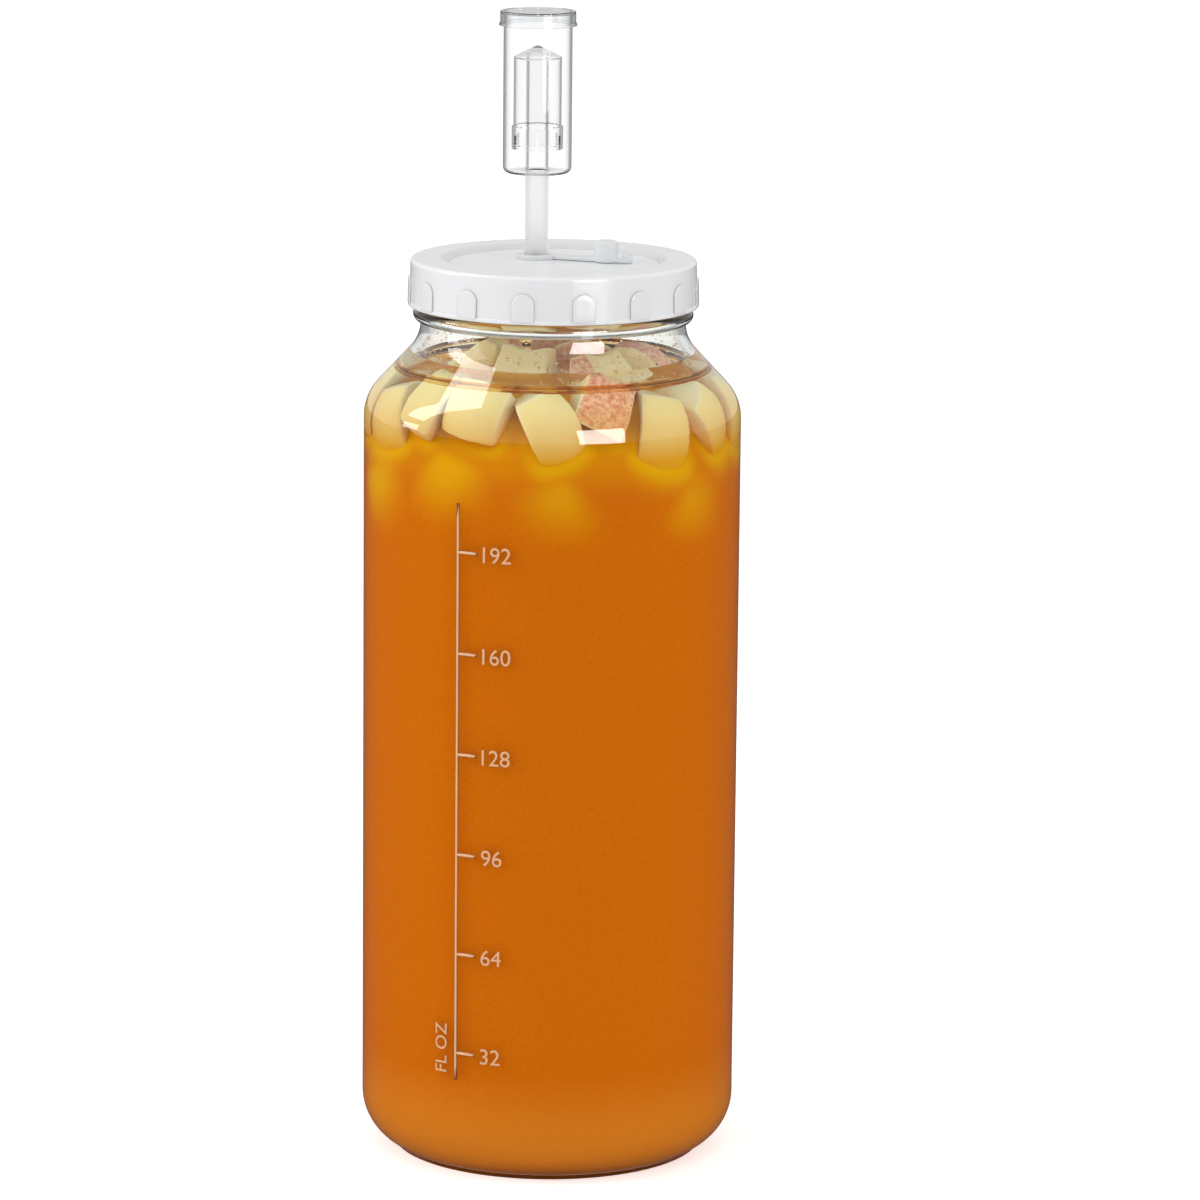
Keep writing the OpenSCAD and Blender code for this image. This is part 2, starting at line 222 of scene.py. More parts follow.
heel_turn = math.degrees(math.asin((HEEL_R - RING_H) / HEEL_R))
push_r = RING_R - RING_W
jar_outline = (
    [(push_r * k / 10, PUSH_UP * (1 - (k / 10) ** 2)) for k in range(10)]
    + [(push_r + 0.5, 0.0)]
    + arc(RING_R - RING_EDGE, RING_EDGE, RING_EDGE, -90, 0, 5)
    + [(RING_R, RING_H - 0.2), (RING_R + 0.2, RING_H)]
    + arc(BODY_R - HEEL_R, HEEL_R, HEEL_R, -heel_turn, 0, 20)
    + [(BODY_R, HEEL_R + 2), (BODY_R, STRAIGHT_H - 2)]
    + shoulder_line(0)
    + [(NECK_R, BEAD_Z - BEAD_R)]
    + arc(NECK_R + BEAD_OUT - BEAD_R, BEAD_Z, BEAD_R, -90, 90, 16)
    + [(MOUTH_R, BEAD_Z + BEAD_R), (MOUTH_R, BEAD_Z + BEAD_R + 1)]
    + arc(MOUTH_R - RIM_ROUND, RIM_Z - RIM_ROUND, RIM_ROUND, 0, 90, 6)
    + arc(MOUTH_IN_R + RIM_ROUND, RIM_Z - RIM_ROUND, RIM_ROUND, 90, 180, 6)
    + inside_line(0)[::-1])
glass = see_through("clear_glass", GLASS_TINT, 1.5, 0.0, 0.000012, 22.0)
jar = new_piece("jar_glass_blown", turned(jar_outline, 256), glass)
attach(jar, "jar")
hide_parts("jar_glass")


# ---------------------------------------------------------------------------
# The jar's thread: two glass ridges pressed round the mouth with it, one start opposite the
# other. A full turn lifts the lid 12.7 mm. The lid's own thread is made the same way below.
THREAD_LEAD = 12.7
THREAD_STARTS = 2
NECK_THREAD_Z, NECK_THREAD_TURNS, NECK_THREAD_BULGE = 390.4, 0.78, 1.6


def node_tree(name, inputs):
    """A Geometry Nodes tree with these inputs, and its group's input and output nodes."""
    tree = bpy.data.node_groups.new(name, "GeometryNodeTree")
    tree.interface.new_socket(name="Geometry", in_out="INPUT", socket_type="NodeSocketGeometry")
    for label, kind in inputs:
        tree.interface.new_socket(name=label, in_out="INPUT", socket_type="NodeSocket" + kind)
    tree.interface.new_socket(name="Geometry", in_out="OUTPUT", socket_type="NodeSocketGeometry")
    return tree, tree.nodes.new("NodeGroupInput"), tree.nodes.new("NodeGroupOutput")


def grown(name, tree, values, start=None):
    """The plain mesh that a Geometry Nodes tree grows from a start mesh with these inputs."""
    mesh = bpy.data.meshes.new(name)
    if start is not None:
        start.to_mesh(mesh)
        start.free()
    piece = bpy.data.objects.new(name, mesh)
    bpy.context.scene.collection.objects.link(piece)
    modifier = piece.modifiers.new("grow", "NODES")
    modifier.node_group = tree
    for item in tree.interface.items_tree:
        if item.in_out == "INPUT" and item.name in values:
            modifier[item.identifier] = values[item.name]
    bpy.context.view_layer.update()
    seen = piece.evaluated_get(bpy.context.evaluated_depsgraph_get())
    plain = bpy.data.meshes.new_from_object(seen)
    piece.modifiers.remove(modifier)
    piece.data = plain
    plain.name = name
    plain.shade_smooth()
    plain.set_sharp_from_angle(angle=math.radians(50))
    return piece


thread_tree, t_in, t_out = node_tree(
    "Screw thread", [("Radius", "Float"), ("Lead", "Float"), ("Turns", "Float"),
                     ("Bottom", "Float"), ("Bulge", "Float"), ("Starts", "Int"),
                     ("Finish", "Material")])
rise = shader_node(thread_tree, "ShaderNodeMath",
                   [(0, t_in.outputs["Lead"]), (1, t_in.outputs["Turns"])], operation="MULTIPLY")
helix = shader_node(thread_tree, "GeometryNodeCurveSpiral",
                    [("Resolution", 96), ("Rotations", t_in.outputs["Turns"]),
                     ("Start Radius", t_in.outputs["Radius"]),
                     ("End Radius", t_in.outputs["Radius"]), ("Height", rise.outputs[0]),
                     ("Reverse", True)])
along = shader_node(thread_tree, "GeometryNodeSplineParameter")
swell = shader_node(thread_tree, "ShaderNodeMath",
                    [(0, along.outputs["Factor"]), (1, math.pi)], operation="MULTIPLY")
swell_sine = shader_node(thread_tree, "ShaderNodeMath", [(0, swell.outputs[0])], operation="SINE")
swell_full = shader_node(thread_tree, "ShaderNodeMath",
                         [(0, swell_sine.outputs[0]), (1, 3.0)], operation="MULTIPLY",
                         use_clamp=True)
tapered = shader_node(thread_tree, "GeometryNodeSetCurveRadius",
                      [("Curve", helix.outputs[0]), ("Radius", swell_full.outputs[0])])
section = shader_node(thread_tree, "GeometryNodeCurvePrimitiveCircle",
                      [("Resolution", 14), ("Radius", t_in.outputs["Bulge"])])
ridge = shader_node(thread_tree, "GeometryNodeCurveToMesh",
                    [("Curve", tapered.outputs[0]), ("Profile Curve", section.outputs[0]),
                     ("Fill Caps", True)])
lifted = shader_node(thread_tree, "ShaderNodeCombineXYZ", [("Z", t_in.outputs["Bottom"])])
raised = shader_node(thread_tree, "GeometryNodeTransform",
                     [("Geometry", ridge.outputs[0]), ("Translation", lifted.outputs[0])])
starts = shader_node(thread_tree, "GeometryNodePoints", [("Count", t_in.outputs["Starts"])])
index = shader_node(thread_tree, "GeometryNodeInputIndex")
share = shader_node(thread_tree, "ShaderNodeMath",
                    [(0, 2 * math.pi), (1, t_in.outputs["Starts"])], operation="DIVIDE")
turn = shader_node(thread_tree, "ShaderNodeMath",
                   [(0, index.outputs[0]), (1, share.outputs[0])], operation="MULTIPLY")
spin = shader_node(thread_tree, "ShaderNodeCombineXYZ", [("Z", turn.outputs[0])])
placed = shader_node(thread_tree, "GeometryNodeInstanceOnPoints",
                     [("Points", starts.outputs[0]), ("Instance", raised.outputs[0]),
                      ("Rotation", spin.outputs[0])])
real = shader_node(thread_tree, "GeometryNodeRealizeInstances", [(0, placed.outputs[0])])
finished = shader_node(thread_tree, "GeometryNodeSetMaterial",
                       [("Geometry", real.outputs[0]), ("Material", t_in.outputs["Finish"])])
thread_tree.links.new(finished.outputs[0], t_out.inputs[0])

neck_thread = grown("neck_thread", thread_tree, {
    "Radius": (MOUTH_R + 0.2) * MM, "Lead": THREAD_LEAD * MM, "Turns": NECK_THREAD_TURNS,
    "Bottom": NECK_THREAD_Z * MM, "Bulge": NECK_THREAD_BULGE * MM, "Starts": THREAD_STARTS,
    "Finish": glass})
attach(neck_thread, "jar")


# ---------------------------------------------------------------------------
# The scale: an upright line, six marks 32 fluid ounces apart, their numbers and the unit,
# all raised on the outside of the glass by the mould that the jar was blown in.
SCALE_TURN = -28.9
SCALE_LOW, SCALE_HIGH = 47.7, 310.0
MARK_FIRST, MARK_STEP, MARK_COUNT, MARK_VALUE = 60.1, 45.6, 6, 32
MARK_LEN, LINE_W = 9.6, 1.5
DIGIT_H, DIGIT_START = 7.4, 12.2
UNIT_H, UNIT_OUT, UNIT_Z = 6.2, 4.6, 50.6
RELIEF, RELIEF_ROOT = 0.5, 0.35


def wrapped(bm, turn):
    """Bends a flat relief, drawn in (across, depth, up), round the jar at this turn from the front."""
    for v in bm.verts:
        angle = math.radians(turn) + v.co.x / BODY_R
        r = BODY_R - v.co.y
        v.co = Vector((r * math.sin(angle), -r * math.cos(angle), v.co.z)) * MM
    return bm


def bar(bm, x0, x1, z0, z1, cuts):
    """One straight raised bar with bevelled sides and rounded ends, cut along its length."""
    bevel = 0.45
    upright = z1 - z0 > x1 - x0
    rows = []
    for s in range(cuts + 1):
        t = s / cuts
        at = (z0 + (z1 - z0) * t) if upright else (x0 + (x1 - x0) * t)
        end = s in (0, cuts)
        lo, hi = (x0, x1) if upright else (z0, z1)
        inset = bevel if not end else bevel * 1.3
        height = -RELIEF if not end else 0.0
        section = [(lo, RELIEF_ROOT), (lo, 0.0), (lo + inset, height), (hi - inset, height),
                   (hi, 0.0), (hi, RELIEF_ROOT)]
        rows.append([bm.verts.new((a, d, at) if upright else (at, d, a)) for a, d in section])
    for a, b in zip(rows, rows[1:]):
        for k in range(6):
            n = (k + 1) % 6
            bm.faces.new((a[k], a[n], b[n], b[k]))
    bm.faces.new(rows[0])
    bm.faces.new(rows[-1][::-1])


def letters(words, height, x, z, upright=False):
    """The mesh of plain raised letters, their lower left corner at (x, z)."""
    curve = bpy.data.curves.new("letters", "FONT")
    curve.body = words
    curve.size = height / 0.73
    curve.extrude = 0.3
    curve.bevel_depth = 0.16
    curve.bevel_resolution = 1
    curve.offset = -0.1
    holder = bpy.data.objects.new("letters", curve)
    bpy.context.scene.collection.objects.link(holder)
    bpy.context.view_layer.update()
    seen = holder.evaluated_get(bpy.context.evaluated_depsgraph_get())
    mesh = bpy.data.meshes.new_from_object(seen)
    bpy.data.objects.remove(holder)
    low = min(v.co.x for v in mesh.vertices)
    for v in mesh.vertices:
        across, up, out = v.co.x - low, v.co.y, v.co.z
        if upright:
            across, up = -up, across
        v.co = (x + across, -out + 0.0, z + up)
    return mesh


relief = bmesh.new()
bar(relief, -LINE_W / 2, LINE_W / 2, SCALE_LOW, SCALE_HIGH, 40)
for k in range(MARK_COUNT):
    mark_z = MARK_FIRST + MARK_STEP * k
    bar(relief, -LINE_W / 2, MARK_LEN, mark_z - LINE_W / 2, mark_z + LINE_W / 2, 8)
    relief.from_mesh(letters(str(MARK_VALUE * (k + 1)), DIGIT_H, DIGIT_START, mark_z - DIGIT_H / 2))
relief.from_mesh(letters("FL OZ", UNIT_H, -UNIT_OUT, UNIT_Z, upright=True))
wrapped(relief, SCALE_TURN)
bmesh.ops.remove_doubles(relief, verts=relief.verts, dist=0.01 * MM)
bmesh.ops.recalc_face_normals(relief, faces=relief.faces)

raised = bpy.data.materials.new("raised_glass_painted_shading")
raised.use_nodes = True
tree = raised.node_tree
tree.nodes.clear()
# Painted light and shade on the relief: dark brown at its root and sides, pale peach on its top, for
# how the raised glass catches and bends the light over the brew.
height = shader_node(tree, "ShaderNodeAttribute", attribute_name="height").outputs["Fac"]
painted_relief_light_and_shade = shader_node(tree, "ShaderNodeMix", [("Factor", height), (6, paint(126, 56, 8)),
                                                   (7, paint(238, 186, 140))], data_type="RGBA")
surface = shader_node(tree, "ShaderNodeBsdfPrincipled",
                      [("Base Color", painted_relief_light_and_shade.outputs[2]), ("Roughness", 0.25), ("IOR", 1.5)])
out = shader_node(tree, "ShaderNodeOutputMaterial")
tree.links.new(surface.outputs[0], out.inputs["Surface"])
scale = new_piece("scale_marks", relief, raised, sharp=30)
# The mask of that painted light and shade: 0 at the glass, 1 at the relief's top.
reach = [math.hypot(v.co.x, v.co.y) / MM - BODY_R for v in scale.data.vertices]
scale.data.attributes.new("height", "FLOAT", "POINT").data.foreach_set(
    "value", np.clip(np.array(reach) / RELIEF, 0, 1).astype(np.float32))
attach(scale, "jar")


# ---------------------------------------------------------------------------
# The apple: pieces cut from whole fruit, in wedges with the peel left on the round side.
# They float and crowd under the shoulder, and the murky brew hides what is deep in it.
CLEAR_FROM = 308.0
CORE_LINE = [(81.5, CLEAR_FROM), (80.6, 314.0), (78.6, 320.0), (75.4, 326.0), (71.0, 332.0),
             (65.0, 338.0), (57.0, 343.0), (46.0, 347.0), (30.0, 349.5), (0.0, 350.5)]
BREW_Z = 357.5
APPLE_COUNT = 26
RED_PEEL = {6: 1.0, 20: 0.8, 21: 1.0, 22: 0.35, 23: 0.9, 24: 1.0, 25: 0.75, 26: 0.9}
PLAIN_BLUSH = 0.04
FRONT_SKIN = (0.0, -1.0, 0.1)
SKIN_IN_SIGHT = {21: FRONT_SKIN, 23: FRONT_SKIN, 25: FRONT_SKIN, 26: FRONT_SKIN}
SEEN_WELL = 4.0
VOXEL = 0.85
APPLE_R, DOME, SWELL = 35.0, 0.42, 1.15
FRUIT_TO_GLASS = 0.8


def inner_radius(z):
    """The radius of the jar's inside at these heights."""
    side = [p for p in inside_line(0) if p[1] > FLOOR_T + 0.5]
    return np.interp(z, [p[1] for p in side], [p[0] for p in side])


def core_radius(z):
    """The radius at which the brew is too murky to see into, at these heights."""
    line = np.array(CORE_LINE)
    return np.interp(z, line[:, 1], line[:, 0], left=1e3, right=0)


def flat_faces(bm):
    """The planes of a cut piece: normals and offsets of its large flat faces, in metres."""
    planes = {}
    for face in bm.faces:
        n = face.normal
        key = (round(n.x, 2), round(n.y, 2), round(n.z, 2))
        area, normal, spot = planes.get(key, (0.0, n.copy(), face.verts[0].co.copy()))
        planes[key] = (area + face.calc_area(), normal, spot)
    total = sum(area for area, _, _ in planes.values())
    return [(normal, normal.dot(spot)) for area, normal, spot in planes.values()
            if area > 0.045 * total]


def whole_apple(mesh, planes):
    """The middle of the apple that a piece was cut from, and the way its skin faces."""
    co = np.array([v.co for v in mesh.vertices])
    depth = np.min([offset - co @ np.array(n) for n, offset in planes], axis=0)
    skin = co[depth > 0.4 * MM]
    if len(skin) < 8:
        skin = co[depth > 0.02 * MM]
    rows = np.c_[2 * skin, np.ones(len(skin))]
    middle = np.linalg.lstsq(rows, (skin ** 2).sum(axis=1), rcond=None)[0][:3]
    way = (skin - middle).mean(axis=0)
    return middle, way / np.linalg.norm(way)


def brew_shade(tree, sunk):
    """The brew's colour, with painted light near the bottom, going to fruit seen through it as sunk
    goes to 1.
    """
    place = shader_node(tree, "ShaderNodeTexCoord").outputs["Object"]
    grain = shader_node(tree, "ShaderNodeTexNoise", [("Vector", place), ("Scale", 900.0),
                                                     ("Detail", 2.0), ("Roughness", 0.7)])
    cloud = shader_node(tree, "ShaderNodeTexNoise", [("Vector", place), ("Scale", 16.0),
                                                     ("Detail", 3.0)])
    speck = shader_node(tree, "ShaderNodeMapRange",
                        [("Value", grain.outputs["Fac"]), ("From Min", 0.3), ("From Max", 0.7),
                         ("To Min", 0.0), ("To Max", 1.0)])
    orange = shader_node(tree, "ShaderNodeMix", [("Factor", speck.outputs[0]),
                                                 (6, paint(202, 98, 0)), (7, paint(220, 116, 4))],
                         data_type="RGBA")
    warm = shader_node(tree, "ShaderNodeMix", [("Factor", cloud.outputs["Fac"]),
                                               (6, orange.outputs[2]), (7, paint(211, 106, 2))],
                       data_type="RGBA")
    # Painted light: the brew turns lighter towards the bottom, for the light that comes up through the
    # jar's base.
    height = shader_node(tree, "ShaderNodeSeparateXYZ", [("Vector", place)])
    low = shader_node(tree, "ShaderNodeMapRange",
                      [("Value", height.outputs["Z"]), ("From Min", 0.05), ("From Max", 0.004),
                       ("To Min", 0.0), ("To Max", 0.65)])
    heel = shader_node(tree, "ShaderNodeMix", [("Factor", low.outputs[0]), (6, warm.outputs[2]),
                                               (7, paint(230, 152, 50))], data_type="RGBA")
    return shader_node(tree, "ShaderNodeMix", [("Factor", sunk), (6, heel.outputs[2]),
                                               (7, paint(236, 176, 4))],
                       data_type="RGBA").outputs[2]


def attribute(tree, name):
    return shader_node(tree, "ShaderNodeAttribute", attribute_name=name).outputs["Fac"]


apple = bpy.data.materials.new("apple_flesh_and_peel")
apple.use_nodes = True
tree = apple.node_tree
tree.nodes.clear()
place = shader_node(tree, "ShaderNodeTexCoord").outputs["Object"]
blotch = shader_node(tree, "ShaderNodeTexNoise", [("Vector", place), ("Scale", 130.0),
                                                  ("Detail", 4.0), ("Roughness", 0.65)])
dry = shader_node(tree, "ShaderNodeMix", [("Factor", blotch.outputs["Fac"]),
                                          (6, paint(255, 226, 146)), (7, paint(255, 243, 196))],
                  data_type="RGBA")
# Flesh under the brew's surface: soaked, and painted lighter and paler to make up for the light and
# tint that the amber brew takes from it.
wet_and_lightened = shader_node(tree, "ShaderNodeMix", [("Factor", blotch.outputs["Fac"]),
                                          (6, paint(247, 238, 198)), (7, paint(253, 250, 232))],
                  data_type="RGBA")
flesh = shader_node(tree, "ShaderNodeMix", [("Factor", attribute(tree, "under")),
                                            (6, dry.outputs[2]), (7, wet_and_lightened.outputs[2])],
                    data_type="RGBA")
fleck = shader_node(tree, "ShaderNodeTexVoronoi", [("Vector", place), ("Scale", 330.0)])
fleck_share = shader_node(tree, "ShaderNodeMapRange",
                          [("Value", fleck.outputs["Distance"]), ("From Min", 0.05),
                           ("From Max", 0.2), ("To Min", 0.4), ("To Max", 0.0)])
flecked = shader_node(tree, "ShaderNodeMix", [("Factor", fleck_share.outputs[0]),
                                              (6, flesh.outputs[2]), (7, paint(206, 158, 62))],
                      data_type="RGBA")
streak = shader_node(tree, "ShaderNodeTexNoise", [("Vector", place), ("Scale", 420.0),
                                                  ("Detail", 3.0), ("Roughness", 0.7)])
streak_share = shader_node(tree, "ShaderNodeMapRange",
                           [("Value", streak.outputs["Fac"]), ("From Min", 0.38),
                            ("From Max", 0.62), ("To Min", 0.0), ("To Max", 1.0)])
red = shader_node(tree, "ShaderNodeMix", [("Factor", streak_share.outputs[0]),
                                          (6, paint(250, 200, 164)), (7, paint(220, 134, 102))],
                  data_type="RGBA")
skin = shader_node(tree, "ShaderNodeMix", [("Factor", attribute(tree, "blush")),
                                           (6, paint(247, 231, 172)), (7, red.outputs[2])],
                   data_type="RGBA")
cut_or_skin = shader_node(tree, "ShaderNodeMix", [("Factor", attribute(tree, "peel")),
                                                  (6, flecked.outputs[2]), (7, skin.outputs[2])],
                          data_type="RGBA")
steeped = shader_node(tree, "ShaderNodeMix",
                      [("Factor", attribute(tree, "sunk")), (6, cut_or_skin.outputs[2]),
                       (7, brew_shade(tree, 0.8))], data_type="RGBA")
pores = shader_node(tree, "ShaderNodeBump", [("Strength", 0.6), ("Distance", 0.0003),
                                             ("Height", streak.outputs["Fac"])])
surface = shader_node(tree, "ShaderNodeBsdfPrincipled",
                      [("Base Color", steeped.outputs[2]), ("Roughness", 0.38), ("IOR", 1.4),
                       ("Specular IOR Level", 0.3), ("Normal", pores.outputs[0])])
out = shader_node(tree, "ShaderNodeOutputMaterial")
tree.links.new(surface.outputs[0], out.inputs["Surface"])

fruit_points = []
for k in range(1, APPLE_COUNT + 1):
    node_name = "apple_piece_%02d" % k
    bm = bmesh.new()
    bm.from_mesh(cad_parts[node_name].data)
    bmesh.ops.remove_doubles(bm, verts=bm.verts, dist=0.02 * MM)
    bm.normal_update()
    planes = flat_faces(bm)
    piece = new_piece("apple_cut_%02d" % k, bm, apple)
    rounding = piece.modifiers.new("rounding", "REMESH")
    rounding.mode = "VOXEL"
    rounding.voxel_size = VOXEL * MM
    rounding.use_smooth_shade = True
    bpy.context.view_layer.update()
    seen = piece.evaluated_get(bpy.context.evaluated_depsgraph_get())
    mesh = bpy.data.meshes.new_from_object(seen)
    piece.modifiers.remove(rounding)
    piece.data = mesh
    bm = bmesh.new()
    bm.from_mesh(mesh)
    for _ in range(2):
        bmesh.ops.smooth_vert(bm, verts=bm.verts, factor=0.4, use_axis_x=True, use_axis_y=True,
                              use_axis_z=True)
    bm.normal_update()
    for v in bm.verts:
        lump = noise.noise(v.co * 130 + Vector((k, 0, 0))) * 0.22
        v.co += v.normal * lump * MM
    bm.to_mesh(mesh)
    bm.free()
    mesh.shade_smooth()
    if not mesh.materials:
        mesh.materials.append(apple)
    co = np.array([v.co for v in mesh.vertices])
    core_at, skin_way = whole_apple(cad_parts[node_name].data, planes)
    spoke = co - core_at
    far = np.linalg.norm(spoke, axis=1)
    lean = np.arccos(np.clip(spoke @ skin_way / far, -1, 1))
    peel = np.clip((far / MM - APPLE_R + 1.3) / 0.6, 0, 1)
    depth = np.min([(offset - co @ np.array(n)) / MM for n, offset in planes], axis=0)
    peel *= np.clip((depth - 0.3) / 0.5, 0, 1)
    co = core_at + spoke * (1 - DOME * np.minimum(lean, 0.7) ** 2)[:, None]
    co = co.mean(axis=0) + (co - co.mean(axis=0)) * SWELL
    out = np.hypot(co[:, 0], co[:, 1])
    co[:, :2] *= np.minimum(1, (inner_radius(co[:, 2] / MM) - FRUIT_TO_GLASS) * MM / out)[:, None]
    mesh.vertices.foreach_set("co", co.astype(np.float32).ravel())
    mesh.update()
    r, z = np.hypot(co[:, 0], co[:, 1]) / MM, co[:, 2] / MM
    wall, core = inner_radius(z), core_radius(z)
    sunk = np.clip((wall - r - SEEN_WELL) / np.maximum(wall - core - SEEN_WELL, 0.5), 0, 1)
    sunk = np.maximum(sunk ** 1.4, np.clip((354 - z) / 26, 0, 1) ** 1.2)
    sunk = np.where(z > BREW_Z, 0, sunk)
    under = np.clip(BREW_Z - z, 0, 1)
    if k in SKIN_IN_SIGHT:
        faces = np.array([v.normal for v in mesh.vertices])
        peel = np.clip((faces @ SKIN_IN_SIGHT[k] - 0.55) / 0.15, 0, 1)
    for name, values in (("peel", peel), ("sunk", sunk), ("under", under),
                         ("blush", np.full(len(co), RED_PEEL.get(k, PLAIN_BLUSH)))):
        mesh.attributes.new(name, "FLOAT", "POINT").data.foreach_set(
            "value", values.astype(np.float32))
    fruit_points.append(co[::3])
    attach(piece, "jar")
    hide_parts(node_name)
fruit_points = np.concatenate(fruit_points)


# ---------------------------------------------------------------------------
# The brew: cloudy and amber, filling the jar to the shoulder. Most of it is too murky to see
# into; the top, which has had time to settle, is a clear amber layer that the fruit floats in.
LAP = 0.3
MENISCUS_H, MENISCUS_W = 2.4, 3.0
FRUIT_HALO = 7.5
CLING_H, CLING_W = 1.1, 1.4

murky = bpy.data.materials.new("cloudy_brew")
murky.use_nodes = True
tree = murky.node_tree
tree.nodes.clear()
surface = shader_node(tree, "ShaderNodeBsdfPrincipled",
                      [("Base Color", brew_shade(tree, attribute(tree, "fruit"))),
                       ("Roughness", 0.7), ("Specular IOR Level", 0.0)])
out = shader_node(tree, "ShaderNodeOutputMaterial")
tree.links.new(surface.outputs[0], out.inputs["Surface"])

lower = [p for p in inside_line(-LAP) if p[1] < CLEAR_FROM - 40]
wall_r = BODY_R - WALL + LAP
rows = [(wall_r, z) for z in np.arange(CLEAR_FROM - 40, CLEAR_FROM - 0.5, 1.6)]
line = np.array(CORE_LINE)
upper_z = np.linspace(CLEAR_FROM, CORE_LINE[-1][1], 200)
upper = list(zip(np.interp(upper_z, line[:, 1], line[:, 0]), upper_z))[:-1]
lengths = np.concatenate([[0], np.cumsum(np.hypot(*np.diff(np.array(upper), axis=0).T))])
even = np.linspace(0, lengths[-1], 60)
upper = list(zip(np.interp(even, lengths, [p[0] for p in upper]),
                 np.interp(even, lengths, [p[1] for p in upper]))) + [CORE_LINE[-1]]
core = new_piece("brew_murky", turned(lower + rows + upper, 300), murky, sharp=80)
tree_of_fruit = KDTree(len(fruit_points))
for k, p in enumerate(fruit_points):
    tree_of_fruit.insert(p, k)
tree_of_fruit.balance()
halo = []
for v in core.data.vertices:
    near = tree_of_fruit.find(v.co)[2] / MM if v.co.z > 0.27 else 99.0
    glow = math.exp(-(near / FRUIT_HALO) ** 2) * min(max((v.co.z / MM - 282) / 30, 0), 0.95)
    halo.append(max(glow, 0.5 * min(max((v.co.z / MM - 314) / 20, 0), 1)))
core.data.attributes.new("fruit", "FLOAT", "POINT").data.foreach_set(
    "value", np.array(halo, np.float32))
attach(core, "jar")
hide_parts("brew")

side_r = float(inner_radius(BREW_Z)) + LAP
wet_side = [(wall_r, z) for z in np.linspace(CLEAR_FROM + 0.6, STRAIGHT_H - 3, 12)]
wet_side += [(r, z) for r, z in inside_line(-LAP) if STRAIGHT_H - 2.5 < z < BREW_Z + MENISCUS_H]
top = []
for r in np.linspace(side_r, 0, 72):
    climb = MENISCUS_H * math.exp(-max(side_r - LAP - r, 0) / MENISCUS_W * 2)
    top.append((r, BREW_Z + climb))
top[0] = (float(np.interp(BREW_Z + MENISCUS_H, [p[1] for p in inside_line(-LAP)][20:],
                          [p[0] for p in inside_line(-LAP)][20:])), BREW_Z + MENISCUS_H)
clear_outline = [(0, 330), (56, 322), (78, CLEAR_FROM)] + wet_side + top
AMBER, AMBER_FADE = (252, 246, 210), (0.309, 0.330)
amber = see_through("amber_brew", AMBER, 1.25, 0.0, 0.0003, 90.0, fade=AMBER_FADE)
layer = new_piece("brew_clear_top", turned(clear_outline, 256), amber, sharp=60)
# The meniscus ring's shape and refraction are modelled; its darker amber tint is painted shade for the
# dark line along the liquid's edge.
ring_line = [(r, BREW_Z + 0.2 + 3.0 * max(1 - (side_r - LAP - r) / 2.6, 0) ** 2)
             for r in np.linspace(side_r - 3.2, side_r - 0.1, 12)]
meniscus = new_piece(
    "brew_meniscus", turned([(side_r - 3.2, BREW_Z - 0.4), (side_r - 0.1, BREW_Z - 0.4)]
                            + ring_line[::-1], 256),
    see_through("brew_edge_painted_shade", (222, 168, 92), 1.33, 0.0, 0.0003, 90.0), sharp=60)
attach(meniscus, "jar")
surface_line = KDTree(len(fruit_points))
for k, p in enumerate(fruit_points):
    if abs(p[2] / MM - BREW_Z) < 1.6:
        surface_line.insert((p[0], p[1], 0), k)
surface_line.balance()
for v in layer.data.vertices:
    if v.co.z / MM > BREW_Z - 0.01 and math.hypot(v.co.x, v.co.y) / MM < side_r - 1:
        near = surface_line.find((v.co.x, v.co.y, 0))[2] / MM
        v.co.z += CLING_H * math.exp(-near / CLING_W) * MM
layer.data.materials.append(see_through("amber_side", AMBER, 1.0, 0.0, 0.0, 90.0,
                                        fade=AMBER_FADE))
jar.data.materials.append(see_through("wetted_glass", GLASS_TINT, 1.128, 0.0, 0.0, 22.0))
for piece, near, far in ((layer, 0.15, 9.0), (jar, -0.2, 0.15)):
    for face in piece.data.polygons:
        r, z = math.hypot(face.center.x, face.center.y) / MM, face.center.z / MM
        if FLOOR_T + HEEL_R < z < BREW_Z + 2 and near < r - inner_radius(z) < far:
            face.material_index = 1
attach(layer, "jar")


# ---------------------------------------------------------------------------
# Bubbles of gas: the brew is at work, so small bubbles sit on its surface along the glass and
# round the fruit. They are films of the brew itself.
bubble_tree, b_in, b_out = node_tree(
    "Bubbles", [("Density", "Float"), ("Smallest", "Float"), ("Largest", "Float"),
                ("Seed", "Int"), ("Finish", "Material")])
spots = shader_node(bubble_tree, "GeometryNodeDistributePointsOnFaces",
                    [("Mesh", b_in.outputs["Geometry"]), ("Density", b_in.outputs["Density"]),
                     ("Seed", b_in.outputs["Seed"])])
ball = shader_node(bubble_tree, "GeometryNodeMeshIcoSphere", [("Radius", 1.0), ("Subdivisions", 2)])
size = shader_node(bubble_tree, "FunctionNodeRandomValue",
                   [(2, b_in.outputs["Smallest"]), (3, b_in.outputs["Largest"]),
                    ("Seed", b_in.outputs["Seed"])])
placed = shader_node(bubble_tree, "GeometryNodeInstanceOnPoints",
                     [("Points", spots.outputs["Points"]), ("Instance", ball.outputs[0]),
                      ("Scale", size.outputs[1])])
real = shader_node(bubble_tree, "GeometryNodeRealizeInstances", [(0, placed.outputs[0])])
finished = shader_node(bubble_tree, "GeometryNodeSetMaterial",
                       [("Geometry", real.outputs[0]), ("Material", b_in.outputs["Finish"])])
bubble_tree.links.new(finished.outputs[0], b_out.inputs[0])

